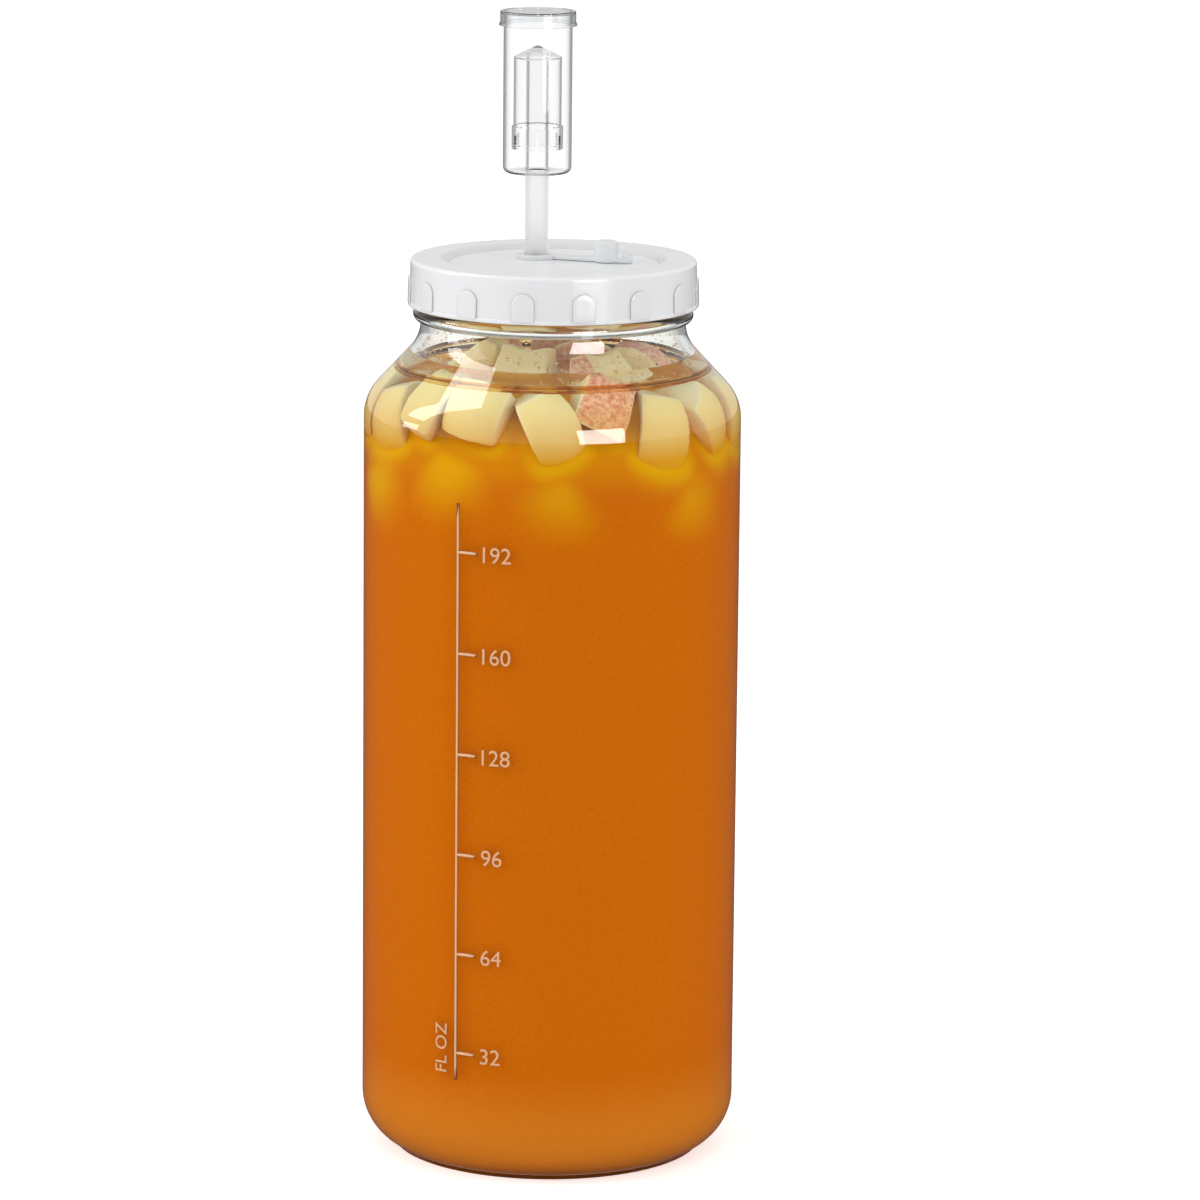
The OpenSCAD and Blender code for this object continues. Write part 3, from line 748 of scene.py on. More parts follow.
froth = bmesh.new()
for near, far, height in ((side_r - 4.2, side_r - 1.6, 0.7), (20, side_r - 6, 0.1)):
    ring = [[froth.verts.new((r * math.cos(t) * MM, r * math.sin(t) * MM, (BREW_Z + height) * MM))
             for t in np.linspace(0, 2 * math.pi, 64, endpoint=False)] for r in (near, far)]
    for k in range(64):
        n = (k + 1) % 64
        froth.faces.new((ring[0][k], ring[1][k], ring[1][n], ring[0][n]))
film = see_through("bubble_film", (255, 240, 214), 1.33, 0.0, 0.0, 90.0)
bubbles = grown("bubbles", bubble_tree, {"Density": 30000.0, "Smallest": 0.3 * MM,
                                         "Largest": 0.95 * MM, "Seed": 7, "Finish": film}, froth)
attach(bubbles, "jar")

damp = bmesh.new()
rings = [[damp.verts.new(((inner_radius(z) - 0.25) * math.cos(t) * MM,
                          (inner_radius(z) - 0.25) * math.sin(t) * MM, z * MM))
          for t in np.linspace(0, 2 * math.pi, 90, endpoint=False)]
         for z in np.linspace(BREW_Z + 2, BREW_Z + 18, 9)]
for low, high in zip(rings, rings[1:]):
    for k in range(90):
        n = (k + 1) % 90
        damp.faces.new((low[k], low[n], high[n], high[k]))
drops = grown("drops_on_glass", bubble_tree, {"Density": 42000.0, "Smallest": 0.25 * MM,
                                              "Largest": 0.9 * MM, "Seed": 3, "Finish": film},
              damp)
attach(drops, "jar")


# ---------------------------------------------------------------------------
# The gasket: a flat silicone ring, punched from sheet, that lies between rim and lid and
# turns up and off with the lid.
GASKET_T, GASKET_IN_R, GASKET_OUT_R = 2.0, 54.6, 61.0


def silicone_finish(name, tint, clearness):
    """Milky moulded silicone: satin, a little see-through, with a faint moulded grain."""
    material = bpy.data.materials.new(name)
    material.use_nodes = True
    tree = material.node_tree
    tree.nodes.clear()
    place = shader_node(tree, "ShaderNodeTexCoord").outputs["Object"]
    milk = shader_node(tree, "ShaderNodeTexNoise", [("Vector", place), ("Scale", 160.0),
                                                    ("Detail", 2.0)])
    pale = tuple(min(255, c + 8) for c in tint)
    shade = shader_node(tree, "ShaderNodeMix", [("Factor", milk.outputs["Fac"]),
                                                (6, paint(*tint)), (7, paint(*pale))],
                        data_type="RGBA")
    grain = shader_node(tree, "ShaderNodeTexNoise", [("Vector", place), ("Scale", 2400.0)])
    bump = shader_node(tree, "ShaderNodeBump", [("Strength", 0.25), ("Distance", 0.0001),
                                                ("Height", grain.outputs["Fac"])])
    body = shader_node(tree, "ShaderNodeBsdfPrincipled",
                       [("Base Color", shade.outputs[2]), ("Roughness", 0.32), ("IOR", 1.41),
                        ("Transmission Weight", clearness), ("Normal", bump.outputs[0])])
    out = shader_node(tree, "ShaderNodeOutputMaterial")
    tree.links.new(body.outputs[0], out.inputs["Surface"])
    return material


silicone = silicone_finish("silicone", (240, 242, 243), 0.25)
gasket_outline = soften([(GASKET_IN_R, RIM_Z, 0.3), (GASKET_OUT_R, RIM_Z, 0.3),
                         (GASKET_OUT_R, RIM_Z + GASKET_T, 0.3),
                         (GASKET_IN_R, RIM_Z + GASKET_T, 0.3)], 4)
gasket = new_piece("gasket_ring", turned(gasket_outline, 160), silicone)
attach(gasket, "seal")
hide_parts("lid_gasket")


# ---------------------------------------------------------------------------
# The lid: one injection moulding of white plastic, glossy on top, with a sunken panel, a
# rounded edge, a lip, a thread inside the skirt and a hole for the grommet.
LID_TOP, LID_BOT, LID_R, SKIRT_IN_R = 408.695, 387.695, 64.2, 62.3
PLATE_T, LID_EDGE_R, LID_DRAFT, LIP_OUT, LIP_H = 2.2, 1.6, 0.5, 1.1, 1.3
PANEL_Z, PANEL_UNDER, RECESS_R, RECESS_DEPTH = 406.195, 403.995, 50.0, 2.5
HOLE_X, HOLE_Y, HOLE_R = -7.8, 16.0, 6.98
STEP_IN = PLATE_T * math.tan(math.radians(22.5))


def moulded(name, tint, roughness, sheen, glow):
    """Moulded plastic in one colour: flow marks, a fine grain, painted shade that darkens the sharp
    corners (read from an attribute of the mesh), and letting some light through."""
    material = bpy.data.materials.new(name)
    material.use_nodes = True
    tree = material.node_tree
    tree.nodes.clear()
    place = shader_node(tree, "ShaderNodeTexCoord").outputs["Object"]
    flow = shader_node(tree, "ShaderNodeTexNoise", [("Vector", place), ("Scale", 24.0),
                                                    ("Detail", 3.0)])
    dim = tuple(c - 5 for c in tint)
    shade = shader_node(tree, "ShaderNodeMix", [("Factor", flow.outputs["Fac"]),
                                                (6, paint(*dim)), (7, paint(*tint))],
                        data_type="RGBA")
    gloss = shader_node(tree, "ShaderNodeMapRange",
                        [("Value", flow.outputs["Fac"]), ("From Min", 0.3), ("From Max", 0.7),
                         ("To Min", roughness - 0.03), ("To Max", roughness + 0.05)])
    grain = shader_node(tree, "ShaderNodeTexNoise", [("Vector", place), ("Scale", 1500.0)])
    bump = shader_node(tree, "ShaderNodeBump", [("Strength", 0.12), ("Distance", 0.0001),
                                                ("Height", grain.outputs["Fac"])])
    # The corner colour is painted shade, 62 levels darker than the plastic.
    corner = tuple(c - 62 for c in tint)
    crease_shaded_colour = shader_node(tree, "ShaderNodeMix", [("Factor", attribute(tree, "painted_crease_shade")),
                                                  (6, shade.outputs[2]), (7, paint(*corner))],
                          data_type="RGBA")
    body = shader_node(tree, "ShaderNodeBsdfPrincipled",
                       [("Base Color", crease_shaded_colour.outputs[2]), ("Roughness", gloss.outputs[0]),
                        ("IOR", 1.48), ("Coat Weight", sheen), ("Coat Roughness", 0.08),
                        ("Subsurface Weight", glow), ("Subsurface Radius", (1.0, 1.0, 1.0)),
                        ("Subsurface Scale", 0.003),
                        ("Normal", bump.outputs[0])])
    out = shader_node(tree, "ShaderNodeOutputMaterial")
    tree.links.new(body.outputs[0], out.inputs["Surface"])
    return material


def cut(piece, tool):
    """Cuts the tool's bmesh out of a piece, for good."""
    cutter_mesh = bpy.data.meshes.new("cutter")
    tool.to_mesh(cutter_mesh)
    tool.free()
    cutter = bpy.data.objects.new("cutter", cutter_mesh)
    bpy.context.scene.collection.objects.link(cutter)
    hole = piece.modifiers.new("hole", "BOOLEAN")
    hole.operation, hole.solver, hole.object = "DIFFERENCE", "EXACT", cutter
    bpy.context.view_layer.update()
    seen = piece.evaluated_get(bpy.context.evaluated_depsgraph_get())
    mesh = bpy.data.meshes.new_from_object(seen)
    piece.modifiers.remove(hole)
    piece.data = mesh
    mesh.shade_smooth()
    mesh.set_sharp_from_angle(angle=math.radians(40))
    bpy.data.objects.remove(cutter)
    return piece


white = moulded("white_lid", (240, 241, 243), 0.22, 0.25, 0.35)
lid_outline = soften([
    (SKIRT_IN_R + LID_DRAFT, LID_BOT, 0.3), (LID_R + LIP_OUT, LID_BOT, 0.35),
    (LID_R + LIP_OUT, LID_BOT + LIP_H, 0.4), (LID_R + LID_DRAFT, LID_BOT + LIP_H + 0.5, 0.4),
    (LID_R, LID_TOP, LID_EDGE_R), (RECESS_R + 1.4, LID_TOP, 0), (RECESS_R, LID_TOP, 0.7),
    (RECESS_R - RECESS_DEPTH, PANEL_Z, 0.7), (RECESS_R - RECESS_DEPTH - 1.4, PANEL_Z, 0),
    (0, PANEL_Z, 0), (0, PANEL_UNDER, 0),
    (RECESS_R - RECESS_DEPTH - STEP_IN, PANEL_UNDER, 0.5),
    (RECESS_R - STEP_IN, LID_TOP - PLATE_T, 0.5), (SKIRT_IN_R, LID_TOP - PLATE_T, 0.5)])
lid = new_piece("lid_moulding", turned(lid_outline, 240), white, sharp=60)
cut(lid, turned([(0, PANEL_UNDER - 1), (HOLE_R, PANEL_UNDER - 1), (HOLE_R, PANEL_Z + 1),
                 (0, PANEL_Z + 1)], 64, (HOLE_X, HOLE_Y)))
# Painted shade at the foot and the top edge of the recess round the panel: darker lines where those
# corners would lie in shade.
painted_crease_shades = []
for v in lid.data.vertices:
    r, z = math.hypot(v.co.x, v.co.y) / MM, v.co.z / MM
    foot = math.exp(-((r - RECESS_R + RECESS_DEPTH) / 0.5) ** 2)
    edge = math.exp(-((r - RECESS_R) / 0.5) ** 2)
    painted_crease_shades.append(0.4 * foot + 0.35 * edge if z > PANEL_Z - 0.3 else 0.0)
lid.data.attributes.new("painted_crease_shade", "FLOAT", "POINT").data.foreach_set("value", painted_crease_shades)
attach(lid, "lid")
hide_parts("lid")

lid_thread = grown("lid_thread", thread_tree, {
    "Radius": (SKIRT_IN_R + 0.1) * MM, "Lead": THREAD_LEAD * MM, "Turns": 0.62,
    "Bottom": (NECK_THREAD_Z - 0.4) * MM, "Bulge": 1.15 * MM, "Starts": THREAD_STARTS,
    "Finish": white})
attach(lid_thread, "lid")


# ---------------------------------------------------------------------------
# The grip pads: fifteen arched pads that stand out from the lid's skirt, moulded in one with
# it, so that a wet hand can turn the lid.
PAD_COUNT, PAD_W, PAD_H, PAD_OUT, PAD_ROOT = 15, 10.2, 13.7, 0.8, 0.6
PAD_BOTTOM = 0.65


def skirt_radius(z):
    """The radius of the skirt's drafted outside at this height."""
    low, high = LID_BOT + LIP_H + 0.5, LID_TOP - LID_EDGE_R
    return LID_R + LID_DRAFT * min(max((high - z) / (high - low), 0), 1)


pad = bmesh.new()
half = PAD_W / 2
arch = ([(half, PAD_BOTTOM + 0.9 * s * (PAD_H - half - PAD_BOTTOM) / 9) for s in range(10)]
        + arc(0, PAD_H - half, half, 0, 180, 24)
        + [(-half, PAD_BOTTOM + 0.9 * s * (PAD_H - half - PAD_BOTTOM) / 9)
           for s in range(9, -1, -1)]
        + [(half * x / 5, PAD_BOTTOM) for x in range(-4, 5)])
hub_z = PAD_BOTTOM + (PAD_H - PAD_BOTTOM) * 0.48
rings = []
# Painted shade at each pad's root: full where it meets the skirt, gone a little way up its side.
painted_crease_shade = pad.verts.layers.float.new("painted_crease_shade")
for shrink, out_by, shaded in ((1, -PAD_ROOT, 1), (1, 0.2, 1), (0.985, 0.5, 0.6), (0.96, 0.7, 0.1),
                               (0.93, 0.78, 0), (0.89, PAD_OUT, 0), (0.6, PAD_OUT, 0),
                               (0.3, PAD_OUT, 0)):
    ring = []
    for across, up in arch:
        x, z = across * shrink, hub_z + (up - hub_z) * shrink + LID_BOT
        r = skirt_radius(z) + out_by
        corner = pad.verts.new((r * math.cos(x / r) * MM, r * math.sin(x / r) * MM, z * MM))
        corner[painted_crease_shade] = shaded
        ring.append(corner)
    rings.append(ring)
for a, b in zip(rings, rings[1:]):
    for k in range(len(arch)):
        n = (k + 1) % len(arch)
        pad.faces.new((a[k], a[n], b[n], b[k]))
pad.faces.new(rings[-1])
pad.faces.new(rings[0][::-1])
bmesh.ops.remove_doubles(pad, verts=pad.verts, dist=0.001 * MM)
bmesh.ops.recalc_face_normals(pad, faces=pad.faces)

pad_tree, p_in, p_out = node_tree("Grip pads", [("Count", "Int"), ("Finish", "Material")])
posts = shader_node(pad_tree, "GeometryNodePoints", [("Count", p_in.outputs["Count"])])
index = shader_node(pad_tree, "GeometryNodeInputIndex")
step = shader_node(pad_tree, "ShaderNodeMath", [(0, 2 * math.pi), (1, p_in.outputs["Count"])],
                   operation="DIVIDE")
middle = shader_node(pad_tree, "ShaderNodeMath", [(0, index.outputs[0]), (1, 0.5)],
                     operation="ADD")
turn = shader_node(pad_tree, "ShaderNodeMath",
                   [(0, middle.outputs[0]), (1, step.outputs[0])], operation="MULTIPLY")
front = shader_node(pad_tree, "ShaderNodeMath", [(0, turn.outputs[0]), (1, math.pi / 2)],
                    operation="SUBTRACT")
spin = shader_node(pad_tree, "ShaderNodeCombineXYZ", [("Z", front.outputs[0])])
placed = shader_node(pad_tree, "GeometryNodeInstanceOnPoints",
                     [("Points", posts.outputs[0]), ("Instance", p_in.outputs["Geometry"]),
                      ("Rotation", spin.outputs[0])])
real = shader_node(pad_tree, "GeometryNodeRealizeInstances", [(0, placed.outputs[0])])
finished = shader_node(pad_tree, "GeometryNodeSetMaterial",
                       [("Geometry", real.outputs[0]), ("Material", p_in.outputs["Finish"])])
pad_tree.links.new(finished.outputs[0], p_out.inputs[0])
pads = grown("lid_grip_pads", pad_tree, {"Count": PAD_COUNT, "Finish": white}, pad)
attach(pads, "lid")


# ---------------------------------------------------------------------------
# The grommet: soft silicone, pressed into the lid's hole from above. Its two flanges grip
# the lid and its bore grips the airlock's stem.
GROMMET_TOP, FLANGE_R, GROMMET_NECK_R, FOOT_R, FOOT_T = 408.195, 9.0, 6.9, 8.5, 2.0
STEM_R = 5.35
GROMMET_BORE = STEM_R + 0.08

grommet_outline = soften([
    (GROMMET_BORE, PANEL_UNDER - FOOT_T, 0.3), (FOOT_R - 1, PANEL_UNDER - FOOT_T, 0.4),
    (FOOT_R, PANEL_UNDER, 0.15), (GROMMET_NECK_R, PANEL_UNDER, 0), (GROMMET_NECK_R, PANEL_Z, 0),
    (FLANGE_R, PANEL_Z, 0.15), (FLANGE_R, GROMMET_TOP, 0.7), (GROMMET_BORE, GROMMET_TOP, 0.4)], 5)
grommet = new_piece("grommet_moulding", turned(grommet_outline, 96, (HOLE_X, HOLE_Y)), silicone)
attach(grommet, "lid")
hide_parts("grommet")


# ---------------------------------------------------------------------------
# The stopper: a plug on a strap, moulded in one with the grommet, and made here lying flat.
# The real strap bends at the flange so that the plug can shut the bore when the airlock is out.
# A tab pulls it up.
STRAP_LEN, STRAP_TURN, STRAP_W, STRAP_T = 33.3, -19.3, 5.0, 1.8
PLUG_R, PLUG_H, TAB_LEN, REST_GAP = 5.3, 9.6, 7.0, 0.3
STRAP_ROOT = FLANGE_R - 0.6
STOPPER_VOXEL = 0.42


def slab(x0, x1, width, z0, z1, round_end=False):
    """A flat strip along +X, in millimetres, with a half-round far end if asked."""
    bm = bmesh.new()
    half = width / 2
    edge = [(x0, -half)]
    if round_end:
        edge += [(x1 - half + half * math.cos(t), half * math.sin(t))
                 for t in np.linspace(-math.pi / 2, math.pi / 2, 17)]
    else:
        edge += [(x1, -half), (x1, half)]
    edge += [(x0, half)]
    low = [bm.verts.new((x, y, z0)) for x, y in edge]
    high = [bm.verts.new((x, y, z1)) for x, y in edge]
    bm.faces.new(low[::-1])
    bm.faces.new(high)
    for k in range(len(edge)):
        n = (k + 1) % len(edge)
        bm.faces.new((low[k], low[n], high[n], high[k]))
    return bm


def fused(name, parts, voxel, material, passes):
    """One soft-edged piece from closed parts that overlap, all in metres."""
    whole = bmesh.new()
    for part in parts:
        mesh = bpy.data.meshes.new("part")
        part.to_mesh(mesh)
        part.free()
        whole.from_mesh(mesh)
    piece = new_piece(name, whole, material)
    melt = piece.modifiers.new("melt", "REMESH")
    melt.mode, melt.voxel_size = "VOXEL", voxel * MM
    bpy.context.view_layer.update()
    seen = piece.evaluated_get(bpy.context.evaluated_depsgraph_get())
    mesh = bpy.data.meshes.new_from_object(seen)
    piece.modifiers.remove(melt)
    bm = bmesh.new()
    bm.from_mesh(mesh)
    for _ in range(passes):
        bmesh.ops.smooth_vert(bm, verts=bm.verts, factor=0.5, use_axis_x=True, use_axis_y=True,
                              use_axis_z=True)
    bm.to_mesh(mesh)
    bm.free()
    mesh.shade_smooth()
    if not mesh.materials:
        mesh.materials.append(material)
    piece.data = mesh
    return piece


base_z = PANEL_Z + REST_GAP
tab_end = STRAP_LEN + PLUG_R + TAB_LEN
plug = turned([(0, base_z), (PLUG_R, base_z), (PLUG_R, base_z + PLUG_H - 1),
               (PLUG_R - 1, base_z + PLUG_H), (0, base_z + PLUG_H)], 48, (STRAP_LEN, 0))
strap = slab(STRAP_ROOT, STRAP_LEN, STRAP_W, base_z, base_z + STRAP_T)
tab = slab(STRAP_LEN, tab_end, STRAP_W, base_z, base_z + STRAP_T, round_end=True)
thumb = turned([(0, base_z), (STRAP_W / 2, base_z), (STRAP_W / 2, base_z + 2 * STRAP_T),
                (0, base_z + 2 * STRAP_T)], 32, (tab_end - STRAP_W / 2, 0))
for part in (strap, tab):
    bmesh.ops.scale(part, vec=(MM, MM, MM), verts=part.verts)
at_strap = (Matrix.Translation((HOLE_X * MM, HOLE_Y * MM, 0))
            @ Matrix.Rotation(math.radians(STRAP_TURN), 4, "Z"))
stopper = fused("stopper_and_strap", [plug, strap, tab, thumb], STOPPER_VOXEL, silicone, 2)
stopper.data.transform(at_strap)
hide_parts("stopper")
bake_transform(stopper)


# ---------------------------------------------------------------------------
# The airlock's body: clear polystyrene, moulded in one with the stem below and the tube up
# its middle. The stem is a push fit in the grommet.
STEM_BORE_R, STEM_END = 3.9, 392.195
CHAMBER_R, CHAMBER_T, CHAMBER_Z, CHAMBER_TOP, CHAMBER_CORNER = 15.45, 1.2, 444.995, 516.695, 3.0
TUBE_TOP = 498.595
LOCK_AT = (HOLE_X, HOLE_Y)



def edged(material, middle, edge, start):
    """Turns a clear material greyer where it is seen edge on: painted shade for the dark edges of thin
    clear mouldings.
    """
    tree = material.node_tree
    glance = shader_node(tree, "ShaderNodeLayerWeight", [("Blend", 0.5)])
    share = shader_node(tree, "ShaderNodeMapRange",
                        [("Value", glance.outputs["Facing"]), ("From Min", start), ("From Max", 1.0)])
    shade = shader_node(tree, "ShaderNodeMix", [("Factor", share.outputs[0]), (6, paint(*middle)),
                                                (7, paint(*edge))], data_type="RGBA")
    body = next(node for node in tree.nodes if node.type == "BSDF_PRINCIPLED")
    tree.links.new(shade.outputs[2], body.inputs["Base Color"])
    return material


def frosted(material, height, tint):
    """Turns a clear material frosted below this height, as the stem is off its ground mould."""
    tree = material.node_tree
    place = shader_node(tree, "ShaderNodeTexCoord").outputs["Object"]
    level = shader_node(tree, "ShaderNodeSeparateXYZ", [("Vector", place)])
    share = shader_node(tree, "ShaderNodeMapRange",
                        [("Value", level.outputs["Z"]), ("From Min", (height + 0.5) * MM),
                         ("From Max", (height - 1.5) * MM), ("To Min", 0.0), ("To Max", 0.6)])
    body = next(node for node in tree.nodes if node.type == "BSDF_PRINCIPLED")
    clear = body.inputs["Base Color"].links[0].from_socket
    shade = shader_node(tree, "ShaderNodeMix", [("Factor", share.outputs[0]), (6, clear),
                                                (7, paint(*tint))], data_type="RGBA")
    tree.links.new(shade.outputs[2], body.inputs["Base Color"])
    tree.links.new(share.outputs[0], body.inputs["Roughness"])
    return material


# Clear plastic with painted shade greying its edges where it is seen edge on.
clear_plastic = edged(see_through("clear_plastic", (252, 252, 253), 1.24, 0.0, 0.00002, 60.0),
                      (253, 253, 253), (230, 230, 231), 0.35)
frosted(clear_plastic, CHAMBER_Z, (238, 238, 239))
room = CHAMBER_R - CHAMBER_T
body_outline = soften([
    (STEM_BORE_R, STEM_END, 0.2), (STEM_R, STEM_END, 0.6), (STEM_R, CHAMBER_Z, 0.6),
    (CHAMBER_R, CHAMBER_Z, CHAMBER_CORNER), (CHAMBER_R, CHAMBER_TOP, 0.3),
    (room, CHAMBER_TOP, 0.3), (room, CHAMBER_Z + CHAMBER_T, CHAMBER_CORNER - CHAMBER_T),
    (STEM_R, CHAMBER_Z + CHAMBER_T, 0.5), (STEM_R, TUBE_TOP, 0.3),
    (STEM_BORE_R, TUBE_TOP, 0.3)], 6)
lock_body = new_piece("airlock_chamber", turned(body_outline, 96, LOCK_AT), clear_plastic)
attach(lock_body, "airlock")
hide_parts("airlock_body")


# ---------------------------------------------------------------------------
# The float: a thin clear bell with a pointed roof that sits over the tube's mouth. Gas lifts
# it and leaves by the slots in the collar at its lower edge.
FLOAT_R, FLOAT_T, FLOAT_Z, FLOAT_SHOULDER, ROOF_H = 10.8, 0.9, 455.905, 497.205, 5.4
COLLAR_R, COLLAR_H, SLOT_COUNT, SLOT_W, SLOT_H = 11.55, 10.6, 6, 1.8, 6.5

roof_slope = ROOF_H / FLOAT_R
roof_in = FLOAT_SHOULDER + ROOF_H - FLOAT_T * 1.15
float_in = FLOAT_R - FLOAT_T
float_outline = soften([
    (0, roof_in, 0), (float_in, roof_in - float_in * roof_slope, 0.5), (float_in, FLOAT_Z, 0.2),
    (COLLAR_R, FLOAT_Z, 0.25), (COLLAR_R, FLOAT_Z + COLLAR_H - 0.5, 0.25),
    (FLOAT_R, FLOAT_Z + COLLAR_H, 0.25), (FLOAT_R, FLOAT_SHOULDER, 0.5),
    (0, FLOAT_SHOULDER + ROOF_H, 0)], 4)
bell = new_piece("airlock_bell", turned(float_outline, 96, LOCK_AT), clear_plastic)

slot_tree, s_in, s_out = node_tree("Gas slots", [("Count", "Int"), ("Finish", "Material")])
posts = shader_node(slot_tree, "GeometryNodePoints", [("Count", s_in.outputs["Count"])])
index = shader_node(slot_tree, "GeometryNodeInputIndex")
step = shader_node(slot_tree, "ShaderNodeMath", [(0, 2 * math.pi), (1, s_in.outputs["Count"])],
                   operation="DIVIDE")
middle = shader_node(slot_tree, "ShaderNodeMath", [(0, index.outputs[0]), (1, 0.5)],
                     operation="ADD")
turn = shader_node(slot_tree, "ShaderNodeMath",
                   [(0, middle.outputs[0]), (1, step.outputs[0])], operation="MULTIPLY")
spin = shader_node(slot_tree, "ShaderNodeCombineXYZ", [("Z", turn.outputs[0])])
placed = shader_node(slot_tree, "GeometryNodeInstanceOnPoints",
                     [("Points", posts.outputs[0]), ("Instance", s_in.outputs["Geometry"]),
                      ("Rotation", spin.outputs[0])])
real = shader_node(slot_tree, "GeometryNodeRealizeInstances", [(0, placed.outputs[0])])
finished = shader_node(slot_tree, "GeometryNodeSetMaterial",
                       [("Geometry", real.outputs[0]), ("Material", s_in.outputs["Finish"])])
slot_tree.links.new(finished.outputs[0], s_out.inputs[0])


def ring_of_tools(tree, tool, count):
    """Cutting tools, set round the airlock's axis by a Geometry Nodes tree, as one bmesh."""
    tools = grown("tools", tree, {"Count": count, "Finish": clear_plastic}, tool)
    bm = bmesh.new()
    bm.from_mesh(tools.data)
    bmesh.ops.translate(bm, vec=(HOLE_X * MM, HOLE_Y * MM, 0), verts=bm.verts)
    bpy.data.objects.remove(tools)
    return bm


slot_tool = slab(FLOAT_R - 3, FLOAT_R + 3, SLOT_W, FLOAT_Z - 1, FLOAT_Z + SLOT_H)
bmesh.ops.scale(slot_tool, vec=(MM, MM, MM), verts=slot_tool.verts)
cut(bell, ring_of_tools(slot_tree, slot_tool, SLOT_COUNT))
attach(bell, "float")
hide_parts("airlock_float")


# ---------------------------------------------------------------------------
# The cap: clear plastic, pressed onto the chamber's rim to keep flies and dust out. Six
# small holes let the gas go.
CAP_TOP, CAP_Z, CAP_IN_R, CAP_SKIRT_T = 517.895, 511.295, CHAMBER_R + 0.08, 1.5
CAP_RIM_OUT, CAP_RIM_H = 0.5, 1.2
VENT_COUNT, VENT_R, VENT_AT = 6, 0.75, 9.27

cap_out = CAP_IN_R + CAP_SKIRT_T
cap_outline = soften([
    (CAP_IN_R, CAP_Z, 0.2), (cap_out + CAP_RIM_OUT, CAP_Z, 0.25),
    (cap_out + CAP_RIM_OUT, CAP_Z + CAP_RIM_H, 0.25), (cap_out, CAP_Z + CAP_RIM_H, 0.15),
    (cap_out, CAP_TOP, 0.5), (0, CAP_TOP, 0), (0, CHAMBER_TOP, 0), (CAP_IN_R, CHAMBER_TOP, 0.1)], 5)
# The cap's clear plastic, with painted shade greying its edges where it is seen edge on.
cap_plastic = edged(see_through("cap_plastic", (244, 245, 246), 1.26, 0.03, 0.00002, 60.0),
                    (244, 245, 246), (206, 207, 209), 0.35)
cap = new_piece("airlock_lid", turned(cap_outline, 96, LOCK_AT), cap_plastic)
vent = turned([(0, CHAMBER_TOP - 1), (VENT_R, CHAMBER_TOP - 1), (VENT_R, CAP_TOP + 1),
               (0, CAP_TOP + 1)], 24, (VENT_AT, 0))
cut(cap, ring_of_tools(slot_tree, vent, VENT_COUNT))
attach(cap, "cap")
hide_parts("airlock_cap")


# ---------------------------------------------------------------------------
# The studio: a pale floor that keeps the jar's shadow, a white backdrop that the eye sees
# all round, and soft boxes at the left, at the right of the camera and overhead.
WORLD_LEVEL = 0.75
GLOSS_LEVEL = 0.65
FLOOR_SIZE = 12.0



def sight_lines(tree):
    """Three shares: a ray that comes straight from the eye or through clear pieces alone, one
    that was mirrored on its way, and one that was mirrored inside a clear piece."""
    ray = shader_node(tree, "ShaderNodeLightPath")
    straight = shader_node(tree, "ShaderNodeMath", [(0, ray.outputs["Glossy Depth"]), (1, 0.5)],
                           operation="LESS_THAN")
    through = shader_node(tree, "ShaderNodeMath", [(0, ray.outputs["Is Transmission Ray"]),
                                                   (1, straight.outputs[0])], operation="MULTIPLY")
    seen = shader_node(tree, "ShaderNodeMath", [(0, ray.outputs["Is Camera Ray"]),
                                                (1, through.outputs[0])], operation="MAXIMUM")
    bounced = shader_node(tree, "ShaderNodeMath", [(0, 1.0), (1, straight.outputs[0])],
                          operation="SUBTRACT")
    mirrored = shader_node(tree, "ShaderNodeMath", [(0, ray.outputs["Is Diffuse Ray"]),
                                                    (1, bounced.outputs[0])], operation="LESS_THAN")
    return seen.outputs[0], mirrored.outputs[0], ray.outputs["Is Transmission Ray"]


def glimmer(tree, polished, inside, within):
    """The brightness that mirrors show: one for polished outsides, one for clear pieces."""
    return shader_node(tree, "ShaderNodeMapRange", [("Value", within), ("To Min", polished),
                                                    ("To Max", inside)]).outputs[0]


scene = bpy.context.scene
scene.view_settings.view_transform = "Standard"
world = bpy.data.worlds.new("studio")
scene.world = world
world.use_nodes = True
tree = world.node_tree
tree.nodes.clear()
seen, mirrored, within = sight_lines(tree)
backdrop = shader_node(tree, "ShaderNodeBackground", [("Color", (1, 1, 1, 1)), ("Strength", 1.0)])
fill = shader_node(tree, "ShaderNodeBackground", [("Color", (1, 1, 1, 1)),
                                                  ("Strength", WORLD_LEVEL)])
mirror = shader_node(tree, "ShaderNodeBackground", [
    ("Color", (1, 1, 1, 1)), ("Strength", glimmer(tree, GLOSS_LEVEL, 0.85, within))])
lit = shader_node(tree, "ShaderNodeMixShader", [(0, mirrored), (1, fill.outputs[0]),
                                                (2, mirror.outputs[0])])
shown = shader_node(tree, "ShaderNodeMixShader", [(0, seen), (1, lit.outputs[0]),
                                                  (2, backdrop.outputs[0])])
out = shader_node(tree, "ShaderNodeOutputWorld")
tree.links.new(shown.outputs[0], out.inputs["Surface"])

